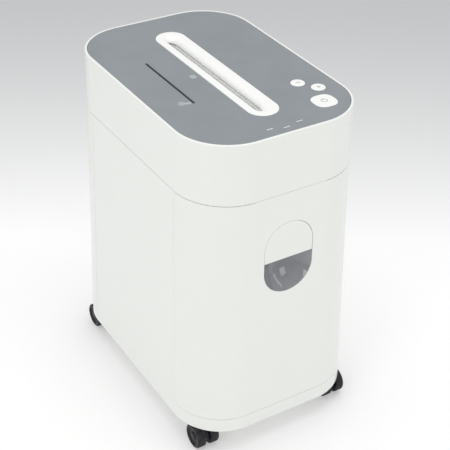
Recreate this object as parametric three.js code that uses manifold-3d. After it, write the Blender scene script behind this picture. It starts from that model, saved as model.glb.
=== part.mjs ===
// Floor-standing paper shredder: a drafted cabinet on four twin-wheel casters, a pull-out bin
// with a finger scoop, and a head that holds a paired-shaft cutter, its gear train and its motor.
// Units are millimetres, +Z is up, the front faces -Y, and the origin is on the floor at the centre.

import * as THREE from 'three';
import { mergeVertices } from 'three/addons/utils/BufferGeometryUtils.js';
import Module from 'manifold-3d';

const wasm = await Module();
wasm.setup();

// ---------------------------------------------------------------- driving dimensions

const cornerSteps = 5; // half the straight steps in each corner arc
const gap = 0.35; // clearance between pieces that touch or fit into each other
const seam = 0.7; // visible joint line between two covers

const topWidth = 239.4; // outline of the head's top edge
const topDepth = 360;
const cornerRadius = 71;
const headDraft = 0.004; // outward flare per side, per millimetre of height
const cabinetDraft = 0.0184;
const wall = 2.6;

const bandHeight = 20.5;
const cabinetHeight = 326; // from the base band to the head
const headHeight = 81;
const chassisLift = 3; // head's lower edge to the chassis plate
const chassisThickness = 3;
const deckThickness = 3;
const railHeight = 1.15; // rails that the bin slides on, above the deck's seam
const railWidth = 12;
const railX = 70;
const railFrontGap = 30; // rail ends to the flat front and rear
const railRearGap = 40;

const rimWidth = 3.1;
const rimRounding = 1.6;
const panelRecess = 0.8;
const panelThickness = 3;
const ledgeWidth = 5;
const ledgeThickness = 3;

const bezelWidth = 41.6;
const bezelLength = 263.8;
const bezelProud = 0.6;
const bezelFlange = 3; // hidden flange under the panel
const bezelRim = 3; // flat land round the funnel
const feedWidth = 6; // paper slit
const feedLength = 224;
const funnelDepth = 7;
const throatDepth = 20;
const throatWall = 2;

const discSlotWidth = 3.4;
const discSlotLength = 124;
const discSlotX = -64.2;
const linerDepth = 20;
const linerWall = 2;

const keyTravel = 1.2;
const keyProud = 0.5;
const keyHeight = 8; // cap below the panel
const keyStemLength = 6;
const keyFlange = 1.6;
const keyFlangeThickness = 2;
const keyStemRadius = 2;
const switchHalf = 3; // push switches on the board
const switchHeight = 3.5;
const smallKeyRadius = 9.4;
const smallKeys = [
  { name: 'key_small_rear', x: 73.5, y: -78.2 },
  { name: 'key_small_front', x: 89.2, y: -100.2 },
];
const powerKeyHalf = 15.5; // half-width of the large key
const powerKey = { name: 'key_power', x: 74.8, y: -133.1 };
const boardThickness = 1.6;
const boardMargin = { left: 12.3, right: 7.3, front: 9.4, rear: 6.8 }; // board beyond the keys' edges
const boardWallGap = 3;
const bossRadius = 2.5;
const bossInset = 8; // posts from the board's edges
const frontBossInset = 12;

const lightLength = 9;
const lightWidth = 1.8;
const lights = [
  { x: -20.5, y: -159.7 },
  { x: 0, y: -164.7 },
  { x: 20.8, y: -159.7 },
];

const scoopWidth = 71; // stadium opening in the bin front
const scoopHeight = 102;
const scoopCentre = 254; // above the underside of the base
const scoopSplit = 253; // lower edge of the flush grip plate
const scoopDepth = 24;
const scoopWall = 2.2;
const scoopDrop = 2; // hollow's widest level below the grip plate's edge
const windowLip = 4; // beyond the opening, behind the panel
const windowLand = 2; // land round the hollow, behind the panel's thickness
const gripThickness = 3;
const past = 5; // how far a cutting body goes past what it cuts

const tubSideGap = 6.3; // bin tub to cabinet wall, at the top of the cabinet
const tubFrontGap = 8.6;
const tubRearGap = 24.5;
const tubRadius = 55;
const tubWall = 2.2;
const tubLift = 1.5; // tub's floor above the band
const tubRibX = 48;
const tubRibWidth = 3;
const tubRibMargin = 20; // ribs from the tub's floor and rim
const tubScoopAir = 6; // tub's cut-out round the scoop
const tabDepth = 4;
const tabRise = 4;
const tabLength = 30;
const tubHeadroom = 9.5; // tub rim to the head
const interlockX = -42; // tab on the tub and switch on the chassis
const interlockWidth = 16;
const interlockAir = 1.5; // tab to switch body
const interlockDepth = 10;
const plungerReach = 1.1;

const shaftSpacing = 34; // between the two cutter shafts
const shaftDrop = 48; // below the top of the rim
const shaftRadius = 6;
const spacerRadius = 8;
const discRadius = 18;
const discThickness = 10;
const discPitch = 26;
const discCount = 9;
const drumSides = 12;
const plateInner = 117; // inner faces of the plates that carry the shafts
const plateThickness = 3;
const plateHalfWidth = 58;
const tieRodRadius = 4;
const tieRodX = 50;
const tieRodRise = 8; // above the chassis
const plateRise = 26; // above the shafts
const fallWidth = 92; // opening under the cutters
const fallMargin = 4;
const discFallWidth = 16;
const discFallMargin = 4;
const shaftOverhang = 6;
const shoulderAir = 1.6; // spacer's end to the plate
const combThickness = 6;
const combWidth = 9;
const combAir = 1.5; // finger to disc
const bushFlange = 2;
const bushWall = 3;

const pressureAngle = THREE.MathUtils.degToRad(25);
const addendum = 0.8; // stub teeth, in modules
const dedendum = 1.05;
const backlash = 0.3;
const boreSides = 16;
const syncTeeth = 17;
const driveTeeth = 24;
const compoundSmallTeeth = 10;
const compoundLargeTeeth = 36;
const pinionTeeth = 10;
const driveModule = 2; // drive gear and the small compound stage
const motorModule = 1.5;
const gearWidth = 7;
const gearStep = 2; // air between two gear stages
const compoundAngle = THREE.MathUtils.degToRad(10); // from the drive shaft to the compound gear
const idlerRadius = 4;

const motorRadius = 28;
const motorLength = 96;
const motorShaftRadius = 4;
const motorShaftDepth = 24;
const motorTailLength = 8;
const motorTailStep = 12; // tail's radius below the can's
const motorPlateMargin = 21; // rear plate beyond the motor's axis
const gearboxHalf = 12; // gear plate round the idler axle
const footHeight = 15;
const footClearance = 10; // gear plate's left leg to the second drum's gear

const casterInsetX = 17.7; // swivel axes from the head's top edge
const casterInsetY = 44;
const casterTrail = 14;
const wheelRadius = 17.3; // to the flats of the tread
const wheelAir = 0.4; // tread to the underside of the base
const treadChamfer = 1.5;
const hubWall = 1; // closed outer face of a wheel
const axleRecess = 1.5; // axle's end to a wheel's outer face
const webRadius = 12;
const webDrop = 6; // web's lower edge below the axle
const wheelWidth = 12.4;
const wheelSides = 20;
const twinWidth = 32; // over both wheels
const axleRadius = 3;
const stemRadius = 5;
const stemLength = 14;
const hoodRadius = 8;
const hoodHeight = 7;

const glandRadius = 8;
const glandBore = 3.6;
const glandX = -34;
const glandRise = 28; // above the head's lower edge
const glandFlange = 3;
const glandDepth = 5; // barrel behind the wall
const glandProud = 0.8;

// ---------------------------------------------------------------- derived heights and places

const baseClearance = 2 * wheelRadius + wheelAir; // floor to the underside of the base
const bandTop = baseClearance + bandHeight;
const headBottom = bandTop + cabinetHeight;
const headTop = headBottom + headHeight;
const panelTop = headTop - panelRecess;
const panelBottom = panelTop - panelThickness;
const seamWidth = topWidth + 2 * headDraft * headHeight; // outline at the head's lower edge
const seamDepth = topDepth + 2 * headDraft * headHeight;
const coreDepth = seamDepth / 2 - cornerRadius; // where the corner arcs start
const shaftZ = headTop - shaftDrop;
const shaftX = shaftSpacing / 2;
const plateOuter = plateInner + plateThickness;
const chassisBottom = headBottom + chassisLift;
const chassisTop = chassisBottom + chassisThickness;
const keyBottom = panelBottom - keyHeight;
const boardTop = keyBottom - keyStemLength;
const casterX = topWidth / 2 - casterInsetX; // swivel axes
const casterY = topDepth / 2 - casterInsetY;
const glandZ = headBottom + glandRise;
const bushOuter = shaftRadius + gap + bushWall;

// gear stages behind the rear plate, each a width and a step of air further back
const syncStart = plateOuter + bushFlange + gap + 0.5;
const driveStart = syncStart + gearWidth + gearStep;
const motorStart = driveStart + gearWidth + gearStep;
const gearboxStart = motorStart + gearWidth + gearStep;

const syncModule = shaftSpacing / syncTeeth; // the two drums' gears mesh at the shafts' spacing
const driveRadius = (driveModule * driveTeeth) / 2;
const compoundSpacing = driveRadius + (driveModule * compoundSmallTeeth) / 2;
const compound = {
  x: shaftX + compoundSpacing * Math.cos(compoundAngle),
  z: shaftZ + compoundSpacing * Math.sin(compoundAngle),
};
const motor = {
  x: compound.x + (motorModule * (compoundLargeTeeth + pinionTeeth)) / 2,
  z: compound.z,
};

// ---------------------------------------------------------------- finishes

const finish = (color, roughness, metalness = 0) =>
  new THREE.MeshStandardMaterial({ color, roughness, metalness });

const white = finish(0xe8ebe6, 0.45);
const panelGrey = finish(0x969ca1, 0.55);
const blackPlastic = finish(0x16171b, 0.5);
const smoke = finish(0x6f747b, 0.15);
const clear = finish(0xd8dcdf, 0.2);
const steel = finish(0xa4a8ab, 0.4, 1);
const nylon = finish(0xe2ddcf, 0.6);
const bronze = finish(0xa8814c, 0.4, 1);
const boardGreen = finish(0x2c5a3a, 0.6);
const tread = finish(0x1c1c22, 0.6);

// ---------------------------------------------------------------- solids

/** Turns a closed three.js geometry into a manifold solid, dropping collapsed triangles. */
function solid(geometry) {
  const bare = geometry.clone();
  bare.deleteAttribute('normal');
  bare.deleteAttribute('uv');
  const merged = mergeVertices(bare, 1e-4);
  const index = merged.index.array;
  const kept = [];
  for (let i = 0; i < index.length; i += 3) {
    const [a, b, c] = [index[i], index[i + 1], index[i + 2]];
    if (a !== b && b !== c && c !== a) kept.push(a, b, c);
  }
  return new wasm.Manifold(new wasm.Mesh({
    numProp: 3,
    vertProperties: new Float32Array(merged.attributes.position.array),
    triVerts: new Uint32Array(kept),
  }));
}

/** Names a finished solid and gives it its finish. */
function part(name, body, material) {
  const { vertProperties, triVerts } = body.getMesh();
  const geometry = new THREE.BufferGeometry();
  geometry.setAttribute('position', new THREE.BufferAttribute(new Float32Array(vertProperties), 3));
  geometry.setIndex(new THREE.BufferAttribute(new Uint32Array(triVerts), 1));
  geometry.computeVertexNormals();
  const mesh = new THREE.Mesh(geometry, material);
  mesh.name = name;
  return mesh;
}

const union = (...bodies) => bodies.reduce((sum, body) => sum.add(body));
const cut = (body, ...tools) => tools.reduce((rest, tool) => rest.subtract(tool), body);

/** Box between two corners. */
function box(x0, x1, y0, y1, z0, z1) {
  const geometry = new THREE.BoxGeometry(x1 - x0, y1 - y0, z1 - z0);
  geometry.translate((x0 + x1) / 2, (y0 + y1) / 2, (z0 + z1) / 2);
  return solid(geometry);
}

/** Upright cylinder. */
function post(x, y, radius, z0, z1, sides = 12) {
  const geometry = new THREE.CylinderGeometry(radius, radius, z1 - z0, sides);
  geometry.rotateX(Math.PI / 2);
  geometry.translate(x, y, (z0 + z1) / 2);
  return solid(geometry);
}

/** Cylinder along Y. */
function rod(x, z, radius, y0, y1, sides = 12) {
  const geometry = new THREE.CylinderGeometry(radius, radius, y1 - y0, sides);
  geometry.translate(x, (y0 + y1) / 2, z);
  return solid(geometry);
}

/** Cylinder along X. */
function pin(y, z, radius, x0, x1, sides = 12) {
  const geometry = new THREE.CylinderGeometry(radius, radius, x1 - x0, sides);
  geometry.rotateZ(Math.PI / 2);
  geometry.translate((x0 + x1) / 2, y, z);
  return solid(geometry);
}

/** Rounded rectangle about the origin. */
function roundedRect(halfX, halfY, radius) {
  const x = halfX - radius;
  const y = halfY - radius;
  const shape = new THREE.Shape();
  shape.absarc(x, y, radius, 0, Math.PI / 2);
  shape.absarc(-x, y, radius, Math.PI / 2, Math.PI);
  shape.absarc(-x, -y, radius, Math.PI, 1.5 * Math.PI);
  shape.absarc(x, -y, radius, 1.5 * Math.PI, 2 * Math.PI);
  shape.closePath();
  return shape;
}

/** Shape extruded upwards. */
function prism(shape, z0, z1, curveSegments = 4) {
  const geometry = new THREE.ExtrudeGeometry(shape, {
    depth: z1 - z0, bevelEnabled: false, curveSegments,
  });
  geometry.translate(0, 0, z0);
  return solid(geometry);
}

/** Shape drawn in X and Z, extruded along Y. */
function prismY(shape, y0, y1, curveSegments = 5) {
  const geometry = new THREE.ExtrudeGeometry(shape, {
    depth: y1 - y0, bevelEnabled: false, curveSegments,
  });
  geometry.rotateX(Math.PI / 2);
  geometry.translate(0, y1, 0);
  return solid(geometry);
}

/** Moves each corner outwards as it goes down, which keeps the corner radius. */
function flare(geometry, slope, zReference) {
  const position = geometry.attributes.position;
  for (let i = 0; i < position.count; i += 1) {
    const shift = slope * (zReference - position.getZ(i));
    position.setX(i, position.getX(i) + Math.sign(position.getX(i)) * shift);
    position.setY(i, position.getY(i) + Math.sign(position.getY(i)) * shift);
  }
  return geometry;
}

/** Drafted block inside the cabinet's outer surface, by an inset. */
function cabinetBlock(inset, z0, z1) {
  const shape = roundedRect(seamWidth / 2 - inset, seamDepth / 2 - inset, cornerRadius - inset);
  const geometry = new THREE.ExtrudeGeometry(shape, {
    depth: z1 - z0, bevelEnabled: false, curveSegments: cornerSteps,
  });
  geometry.translate(0, 0, z0);
  return solid(flare(geometry, cabinetDraft, headBottom));
}

/** Drafted block inside the head's outer surface, by an inset. */
function headBlock(inset, z0, z1, rounding = 0) {
  const half = { x: topWidth / 2 - inset, y: topDepth / 2 - inset };
  const shape = roundedRect(half.x, half.y, cornerRadius - inset);
  const geometry = new THREE.ExtrudeGeometry(shape, {
    depth: z1 - z0 - 2 * rounding,
    bevelEnabled: rounding > 0,
    bevelThickness: rounding,
    bevelSize: rounding,
    bevelOffset: -rounding,
    bevelSegments: 2,
    curveSegments: cornerSteps,
  });
  geometry.translate(0, 0, z0 + rounding);
  return solid(flare(geometry, headDraft, headTop));
}

/** Slab across the cabinet that ends where the corner arcs start, less a margin. */
function betweenCorners(margin, z0, z1) {
  const geometry = new THREE.BoxGeometry(2 * topWidth, 2 * (coreDepth - margin), z1 - z0);
  geometry.translate(0, 0, (z0 + z1) / 2);
  return solid(flare(geometry, cabinetDraft, headBottom));
}

const beyond = 2 * topDepth; // longer than anything it has to cut
const frontHalf = box(-beyond, beyond, -beyond, 0, -beyond, beyond);
const rearHalf = box(-beyond, beyond, 0, beyond, -beyond, beyond);

/** Stadium: a rectangle with half-round ends, long along the second axis. */
const stadium = (width, length) => roundedRect(width / 2, length / 2, width / 2 - 1e-3);

// ---------------------------------------------------------------- cabinet

/** Base band, deck, side walls and caster sockets, moulded in one. */
function cabinetShell() {
  const skin = cut(
    cabinetBlock(0, baseClearance, headBottom - seam / 2),
    cabinetBlock(wall, baseClearance - 1, headBottom + 1),
  );
  const band = cut(skin, box(-beyond, beyond, -beyond, beyond, bandTop - seam / 2, beyond));
  const sides = skin.intersect(betweenCorners(seam / 2, bandTop - 2, headBottom));
  const deck = cabinetBlock(wall / 2, bandTop - deckThickness - seam, bandTop - seam);
  let body = union(band, sides, deck);
  for (const sx of [-1, 1]) {
    for (const sy of [-1, 1]) {
      const [x, y] = [sx * casterX, sy * casterY];
      const socketEnd = baseClearance + hoodHeight + 2 * gap;
      body = body.add(post(x, y, stemRadius + 2 * wall, socketEnd, bandTop - seam - 1));
      body = body.subtract(post(x, y, stemRadius + gap, socketEnd - 1, bandTop - deckThickness));
    }
    const [railFront, railRear] = [railFrontGap - topDepth / 2, topDepth / 2 - railRearGap];
    body = body.add(box(
      sx * railX - railWidth / 2, sx * railX + railWidth / 2, railFront, railRear,
      bandTop - seam - 1, bandTop + railHeight,
    ));
  }
  return part('cabinet_shell', body, white);
}

/** Rear cover with its round corners. */
function rearPanel() {
  const z0 = bandTop + seam / 2;
  const z1 = headBottom - seam / 2;
  const skin = cut(cabinetBlock(0, z0, z1), cabinetBlock(wall, z0 - 1, z1 + 1));
  const body = cut(skin.intersect(rearHalf), betweenCorners(-seam / 2, z0 - 1, z1 + 1));
  return part('rear_panel', body, white);
}

// ---------------------------------------------------------------- bin

const scoopMid = baseClearance + scoopCentre;
const gripBottom = baseClearance + scoopSplit;
/** Y of the cabinet's flat front at a height. */
const frontY = (z) => -(seamDepth / 2 + cabinetDraft * (headBottom - z));

/** Stadium prism through the bin front, grown by a margin. */
function scoopPrism(margin, depth) {
  const width = scoopWidth + 2 * margin;
  const length = scoopHeight + 2 * margin;
  const y0 = frontY(bandTop) - past;
  const bodyShape = prismY(stadium(width, length), y0, frontY(headBottom) + depth);
  return bodyShape.translate([0, 0, scoopMid]);
}

/** Egg-shaped hollow behind the grip plate, grown by a margin. */
function scoopHollow(margin) {
  const geometry = new THREE.SphereGeometry(1, 16, 10);
  const centreZ = gripBottom - scoopDrop;
  const down = centreZ - (scoopMid - scoopHeight / 2) - scoopWall + margin;
  const up = scoopMid + scoopHeight / 2 - centreZ - scoopWall * 2 + margin;
  const position = geometry.attributes.position;
  for (let i = 0; i < position.count; i += 1) {
    const z = position.getZ(i);
    position.setX(i, position.getX(i) * (scoopWidth / 2 - scoopWall + margin));
    position.setY(i, position.getY(i) * (scoopDepth + margin) + frontY(centreZ));
    position.setZ(i, centreZ + z * (z > 0 ? up : down));
  }
  return solid(geometry);
}

const binBottom = bandTop + seam / 2;
const binTop = headBottom - seam / 2;

/** Front of the bin, round corners included, with the stadium opening. */
function binFrontPanel() {
  const skin = cut(cabinetBlock(0, binBottom, binTop), cabinetBlock(wall, binBottom - 1, binTop + 1));
  const front = cut(skin.intersect(frontHalf), betweenCorners(-seam / 2, binBottom - 1, binTop + 1));
  return part('bin_front_panel', cut(front, scoopPrism(0, scoopDepth)), white);
}

/** Flush plate over the upper part of the opening. */
function gripCover() {
  const plate = cut(cabinetBlock(0, gripBottom, binTop), cabinetBlock(gripThickness, bandTop, headTop));
  return part('grip_cover', plate.intersect(frontHalf).intersect(scoopPrism(-gap, scoopDepth)), white);
}

/** Smoked finger scoop: thin egg-shaped shell with a lip behind the panel. */
function viewWindow() {
  const inside = cabinetBlock(wall + gap, binBottom, binTop).intersect(frontHalf);
  const lipBack = cabinetBlock(wall + gap + scoopWall, bandTop, headTop);
  const lip = cut(inside, lipBack).intersect(scoopPrism(windowLip, scoopDepth));
  const land = cut(cabinetBlock(0, binBottom, binTop), cabinetBlock(wall + windowLand, bandTop, headTop))
    .intersect(frontHalf).intersect(scoopPrism(-gap, scoopDepth));
  const egg = scoopHollow(scoopWall).intersect(cabinetBlock(0, binBottom, binTop))
    .intersect(scoopPrism(-gap, 2 * scoopDepth));
  const coverRoom = cut(cabinetBlock(-1, gripBottom - gap, headTop), cabinetBlock(gripThickness + gap, 0, headTop))
    .intersect(frontHalf).intersect(scoopPrism(1, scoopDepth));
  const body = cut(union(lip, land, egg), scoopHollow(0), coverRoom);
  return part('view_window', body, smoke);
}

const tubHalf = seamWidth / 2 - wall - tubSideGap;
const tubFront = frontY(headBottom) + wall + tubFrontGap;
const tubRear = seamDepth / 2 - wall - tubRearGap;
const tubMid = (tubFront + tubRear) / 2;
const tubBottom = bandTop + tubLift;
const tubTop = headBottom - tubHeadroom;

/** Bin tub with the cut-out for the scoop, ribs to the front and the tab for the interlock. */
function binTub() {
  const halfY = (tubRear - tubFront) / 2;
  const outer = prism(roundedRect(tubHalf, halfY, tubRadius), tubBottom, tubTop, cornerSteps);
  const inner = prism(
    roundedRect(tubHalf - tubWall, halfY - tubWall, tubRadius - tubWall),
    tubBottom + tubWall, tubTop + 1, cornerSteps,
  );
  let body = cut(outer, inner).translate([0, tubMid, 0]);
  const reach = cabinetBlock(wall + gap, binBottom, binTop);
  for (const x of [-tubRibX, tubRibX]) {
    const rib = box(
      x - tubRibWidth / 2, x + tubRibWidth / 2, frontY(bandTop), tubFront + tubWall / 2,
      tubBottom + tubRibMargin, tubTop - tubRibMargin,
    );
    body = body.add(rib.intersect(reach));
  }
  body = body.subtract(scoopPrism(tubScoopAir, scoopDepth + tubScoopAir));
  const [tabLeft, tabRight] = [interlockX - interlockWidth / 2, interlockX + interlockWidth / 2];
  const tab = box(
    tabLeft, tabRight, tubRear - tubWall / 2, tubRear + tabDepth, tubTop - tabLength, tubTop + tabRise,
  );
  return part('bin_tub', body.add(tab), blackPlastic);
}

// ---------------------------------------------------------------- head covers

const ledgeTop = panelBottom - gap;

/** White ring of the head with the rim and the ledge that carries the panel. */
function headShell() {
  const z0 = headBottom + seam / 2;
  const outside = headBlock(0, z0 - 10, headTop, rimRounding)
    .intersect(box(-beyond, beyond, -beyond, beyond, z0, beyond));
  const aboveLedge = headBlock(rimWidth, ledgeTop, headTop + 1);
  const ledgeHole = headBlock(rimWidth + ledgeWidth, ledgeTop - ledgeThickness - 1, headTop + 1);
  const below = headBlock(wall, z0 - 1, ledgeTop - ledgeThickness);
  const shell = cut(outside, aboveLedge, ledgeHole, below);
  const glandHole = rod(glandX, glandZ, glandRadius + gap, 0, topDepth);
  return part('head_shell', shell.subtract(glandHole), white);
}

/** Superellipse outline of the large key. */
function squircle(half, steps = 28, exponent = 2.7) {
  const shape = new THREE.Shape();
  for (let i = 0; i < steps; i += 1) {
    const angle = (2 * Math.PI * i) / steps;
    const [c, s] = [Math.cos(angle), Math.sin(angle)];
    const x = Math.sign(c) * Math.abs(c) ** (2 / exponent) * half;
    const y = Math.sign(s) * Math.abs(s) ** (2 / exponent) * half;
    if (i === 0) shape.moveTo(x, y);
    else shape.lineTo(x, y);
  }
  shape.closePath();
  return shape;
}

/** Grey inset panel with its openings and the posts that hold the circuit board. */
function topPanel() {
  const plate = headBlock(rimWidth + gap, panelBottom, panelTop);
  const [low, high] = [panelBottom - 1, panelTop + 1];
  const tools = [
    prism(stadium(bezelWidth + 2 * gap, bezelLength + 2 * gap), low, high),
    prism(roundedRect(discSlotWidth / 2, discSlotLength / 2, 0.5), low, high, 2)
      .translate([discSlotX, 0, 0]),
    prism(squircle(powerKeyHalf + gap), low, high).translate([powerKey.x, powerKey.y, 0]),
    ...smallKeys.map(({ x, y }) => post(x, y, smallKeyRadius + gap, low, high, 24)),
    ...lights.map(({ x, y }) => prism(lightWindow(gap / 2), low, high, 3).translate([x, y, 0])),
  ];
  const bosses = boardBosses.map(([x, y]) =>
    post(x, y, bossRadius, boardTop + gap, panelBottom + 1, 10));
  return part('top_panel', union(cut(plate, ...tools), ...bosses), panelGrey);
}

/** Circuit board's edges, round the keys it carries. */
const board = {
  left: powerKey.x - powerKeyHalf - boardMargin.left,
  right: smallKeys[1].x + smallKeyRadius + boardMargin.right,
  front: powerKey.y - powerKeyHalf - boardMargin.front,
  rear: smallKeys[0].y + smallKeyRadius + boardMargin.rear,
};
const boardBosses = [
  [board.left + bossInset, board.rear - bossInset],
  [board.left + bossInset, board.front + frontBossInset],
  [board.right - bossInset, board.rear - bossInset],
];

/** Outline of one indicator window, long along X. */
function lightWindow(margin) {
  const [halfX, halfY] = [lightLength / 2 + margin, lightWidth / 2 + margin];
  return roundedRect(halfX, halfY, halfY - 1e-3);
}

/** Paper throat: land, funnel and slit, with a flange under the panel. */
function feedBezel() {
  const top = panelTop + bezelProud;
  const slitTop = top - funnelDepth;
  const bottom = slitTop - throatDepth;
  const flangeTop = panelBottom - gap;
  const land = prism(stadium(bezelWidth, bezelLength), slitTop - throatWall, top);
  const flange = prism(
    stadium(bezelWidth + 2 * bezelFlange, bezelLength + 2 * bezelFlange),
    slitTop - throatWall, flangeTop,
  );
  const throat = prism(
    roundedRect(feedWidth / 2 + throatWall, feedLength / 2 + throatWall, 2), bottom, slitTop, 2,
  );
  const slit = prism(roundedRect(feedWidth / 2, feedLength / 2, 1), bottom - 1, top + 1, 2);
  return part('feed_bezel', cut(union(land, flange, throat), funnel(slitTop, top), slit), white);
}

/** Funnel from the bezel's land down to the slit, as a loft of shrinking rounded outlines. */
function funnel(slitTop, top) {
  const steps = 3;
  const pieces = [];
  for (let i = 0; i < steps; i += 1) {
    const share = (i + 1) / steps; // 1 at the top
    const halfX = THREE.MathUtils.lerp(feedWidth / 2, bezelWidth / 2 - bezelRim, share);
    const halfY = THREE.MathUtils.lerp(feedLength / 2, bezelLength / 2 - bezelRim, share);
    const low = slitTop + (top - slitTop) * ease(i / steps);
    pieces.push(prism(roundedRect(halfX, halfY, halfX - 1e-3), low, top + 1, 4));
  }
  return union(...pieces);
}

const ease = (t) => t * t * (3 - 2 * t);

/** Black chute under the disc slot, open at both ends. */
function discSlotLiner() {
  const z1 = panelBottom - gap;
  const outer = box(
    discSlotX - discSlotWidth / 2 - linerWall, discSlotX + discSlotWidth / 2 + linerWall,
    -discSlotLength / 2 - linerWall, discSlotLength / 2 + linerWall, z1 - linerDepth, z1,
  );
  const inner = box(
    discSlotX - discSlotWidth / 2, discSlotX + discSlotWidth / 2,
    -discSlotLength / 2, discSlotLength / 2, z1 - linerDepth - 1, z1 + 1,
  );
  return part('disc_slot_liner', outer.subtract(inner), blackPlastic);
}

/** Clear strip with three posts that end flush in the panel. */
function indicatorLightGuide() {
  const xs = lights.map(({ x }) => x);
  const ys = lights.map(({ y }) => y);
  const margin = 4;
  const z1 = panelBottom - gap;
  const strip = box(
    Math.min(...xs) - lightLength / 2 - 1, Math.max(...xs) + lightLength / 2 + 1,
    Math.min(...ys) - margin / 2, Math.max(...ys) + margin / 2, z1 - 2, z1,
  );
  const posts = lights.map(({ x, y }) =>
    prism(lightWindow(-gap / 2), z1 - 1, panelTop, 3).translate([x, y, 0]));
  return part('indicator_light_guide', union(strip, ...posts), clear);
}

/** Push key: cap, hidden flange and a stem over its switch. */
function pushKey({ name, x, y }, outline, flangeOutline) {
  const cap = prism(outline, keyBottom, panelTop + keyProud);
  const flangeTop = panelBottom - gap;
  const flange = prism(flangeOutline, flangeTop - keyFlangeThickness, flangeTop);
  const stem = post(0, 0, keyStemRadius, boardTop + switchHeight + keyTravel + gap, keyBottom + 1, 12);
  return part(name, union(cap, flange, stem).translate([x, y, 0]), white);
}

function circle(radius) {
  const shape = new THREE.Shape();
  shape.absarc(0, 0, radius, 0, 2 * Math.PI);
  return shape;
}

function keys() {
  const small = smallKeys.map((key) =>
    pushKey(key, circle(smallKeyRadius), circle(smallKeyRadius + keyFlange)));
  const large = pushKey(powerKey, squircle(powerKeyHalf), squircle(powerKeyHalf + keyFlange));
  return [...small, large];
}

/** Circuit board under the keys, with its three switches. */
function controlBoard() {
  const plate = box(board.left, board.right, board.front, board.rear, boardTop - boardThickness, boardTop)
    .intersect(headBlock(wall + boardWallGap, boardTop - 10, boardTop + 10));
  const switches = [...smallKeys, powerKey].map(({ x, y }) =>
    box(x - switchHalf, x + switchHalf, y - switchHalf, y + switchHalf, boardTop - 1, boardTop + switchHeight));
  return part('control_board', union(plate, ...switches), boardGreen);
}

/** Bushing that the mains lead passes through at the rear of the head. */
function cordGland() {
  const face = seamDepth / 2;
  const inner = face - wall;
  const barrel = rod(glandX, glandZ, glandRadius, inner - glandDepth, face + glandProud);
  const collar = rod(glandX, glandZ, glandRadius + glandFlange, inner - glandDepth + 1, inner - 2 * gap);
  const bore = rod(glandX, glandZ, glandBore, inner - glandDepth - 1, face + glandProud + 1);
  return part('cord_gland', union(barrel, collar).subtract(bore), blackPlastic);
}

// ---------------------------------------------------------------- cutter block

/** Plate that closes the head's underside, open below the cutters. */
function headChassis() {
  const plate = headBlock(wall + gap, chassisBottom, chassisTop);
  const fallY = plateInner - fallMargin;
  const discFallY = discSlotLength / 2 + discFallMargin;
  const [low, high] = [chassisBottom - 1, chassisTop + 1];
  const fall = box(-fallWidth / 2, fallWidth / 2, -fallY, fallY, low, high);
  const discFall = box(
    discSlotX - discFallWidth / 2, discSlotX + discFallWidth / 2, -discFallY, discFallY, low, high,
  );
  return part('head_chassis', cut(plate, fall, discFall), blackPlastic);
}

/** Steel plate across the shafts; the rear one also carries the motor. */
function sidePlate(name, y0, rightEdge) {
  const y1 = y0 + plateThickness;
  const plate = box(-plateHalfWidth, rightEdge, y0, y1, chassisTop + gap, shaftZ + plateRise);
  const holes = [-shaftX, shaftX].map((x) =>
    rod(x, shaftZ, bushOuter + gap, y0 - 1, y1 + 1));
  const more = [];
  if (rightEdge > plateHalfWidth) {
    more.push(rod(motor.x, motor.z, motorShaftRadius + 2, y0 - 1, y1 + 1));
    more.push(rod(compound.x, compound.z, idlerRadius + gap, y0 - 1, y1 + 1));
  }
  return part(name, cut(plate, ...holes, ...more), steel);
}

/** Flanged plain bearing; the flange is on the outer side of its plate. */
function bush(name, x, side) {
  const near = side * (plateInner - 1);
  const face = side * (plateOuter + gap);
  const far = side * (plateOuter + gap + bushFlange);
  const span = (a, b) => [Math.min(a, b), Math.max(a, b)];
  const sleeve = rod(x, shaftZ, bushOuter, ...span(near, far));
  const flange = rod(x, shaftZ, bushOuter + 2, ...span(face, far));
  const bore = rod(x, shaftZ, shaftRadius + gap, ...span(near - side, far + side));
  return part(name, union(sleeve, flange).subtract(bore), bronze);
}

/** Spacer bolt between the two plates. */
const tieRod = (name, x) =>
  part(name, rod(x, chassisTop + tieRodRise, tieRodRadius, -plateInner + gap, plateInner - gap), steel);

/** Shaft with evenly spaced cutting discs, turned as one profile. */
function cutterDrum(name, x, count, y0, y1) {
  const first = (-(count - 1) * discPitch) / 2;
  const end = plateInner - shoulderAir;
  const profile = [[0, y0], [shaftRadius, y0], [shaftRadius, -end], [spacerRadius, -end]];
  for (let i = 0; i < count; i += 1) {
    const centre = first + i * discPitch;
    const half = discThickness / 2;
    profile.push([spacerRadius, centre - half], [discRadius, centre - half]);
    profile.push([discRadius, centre + half], [spacerRadius, centre + half]);
  }
  profile.push([spacerRadius, end], [shaftRadius, end], [shaftRadius, y1], [0, y1]);
  const geometry = new THREE.LatheGeometry(profile.map(([r, y]) => new THREE.Vector2(r, y)), drumSides);
  geometry.translate(x, 0, shaftZ);
  return part(name, solid(geometry), steel);
}

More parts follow.
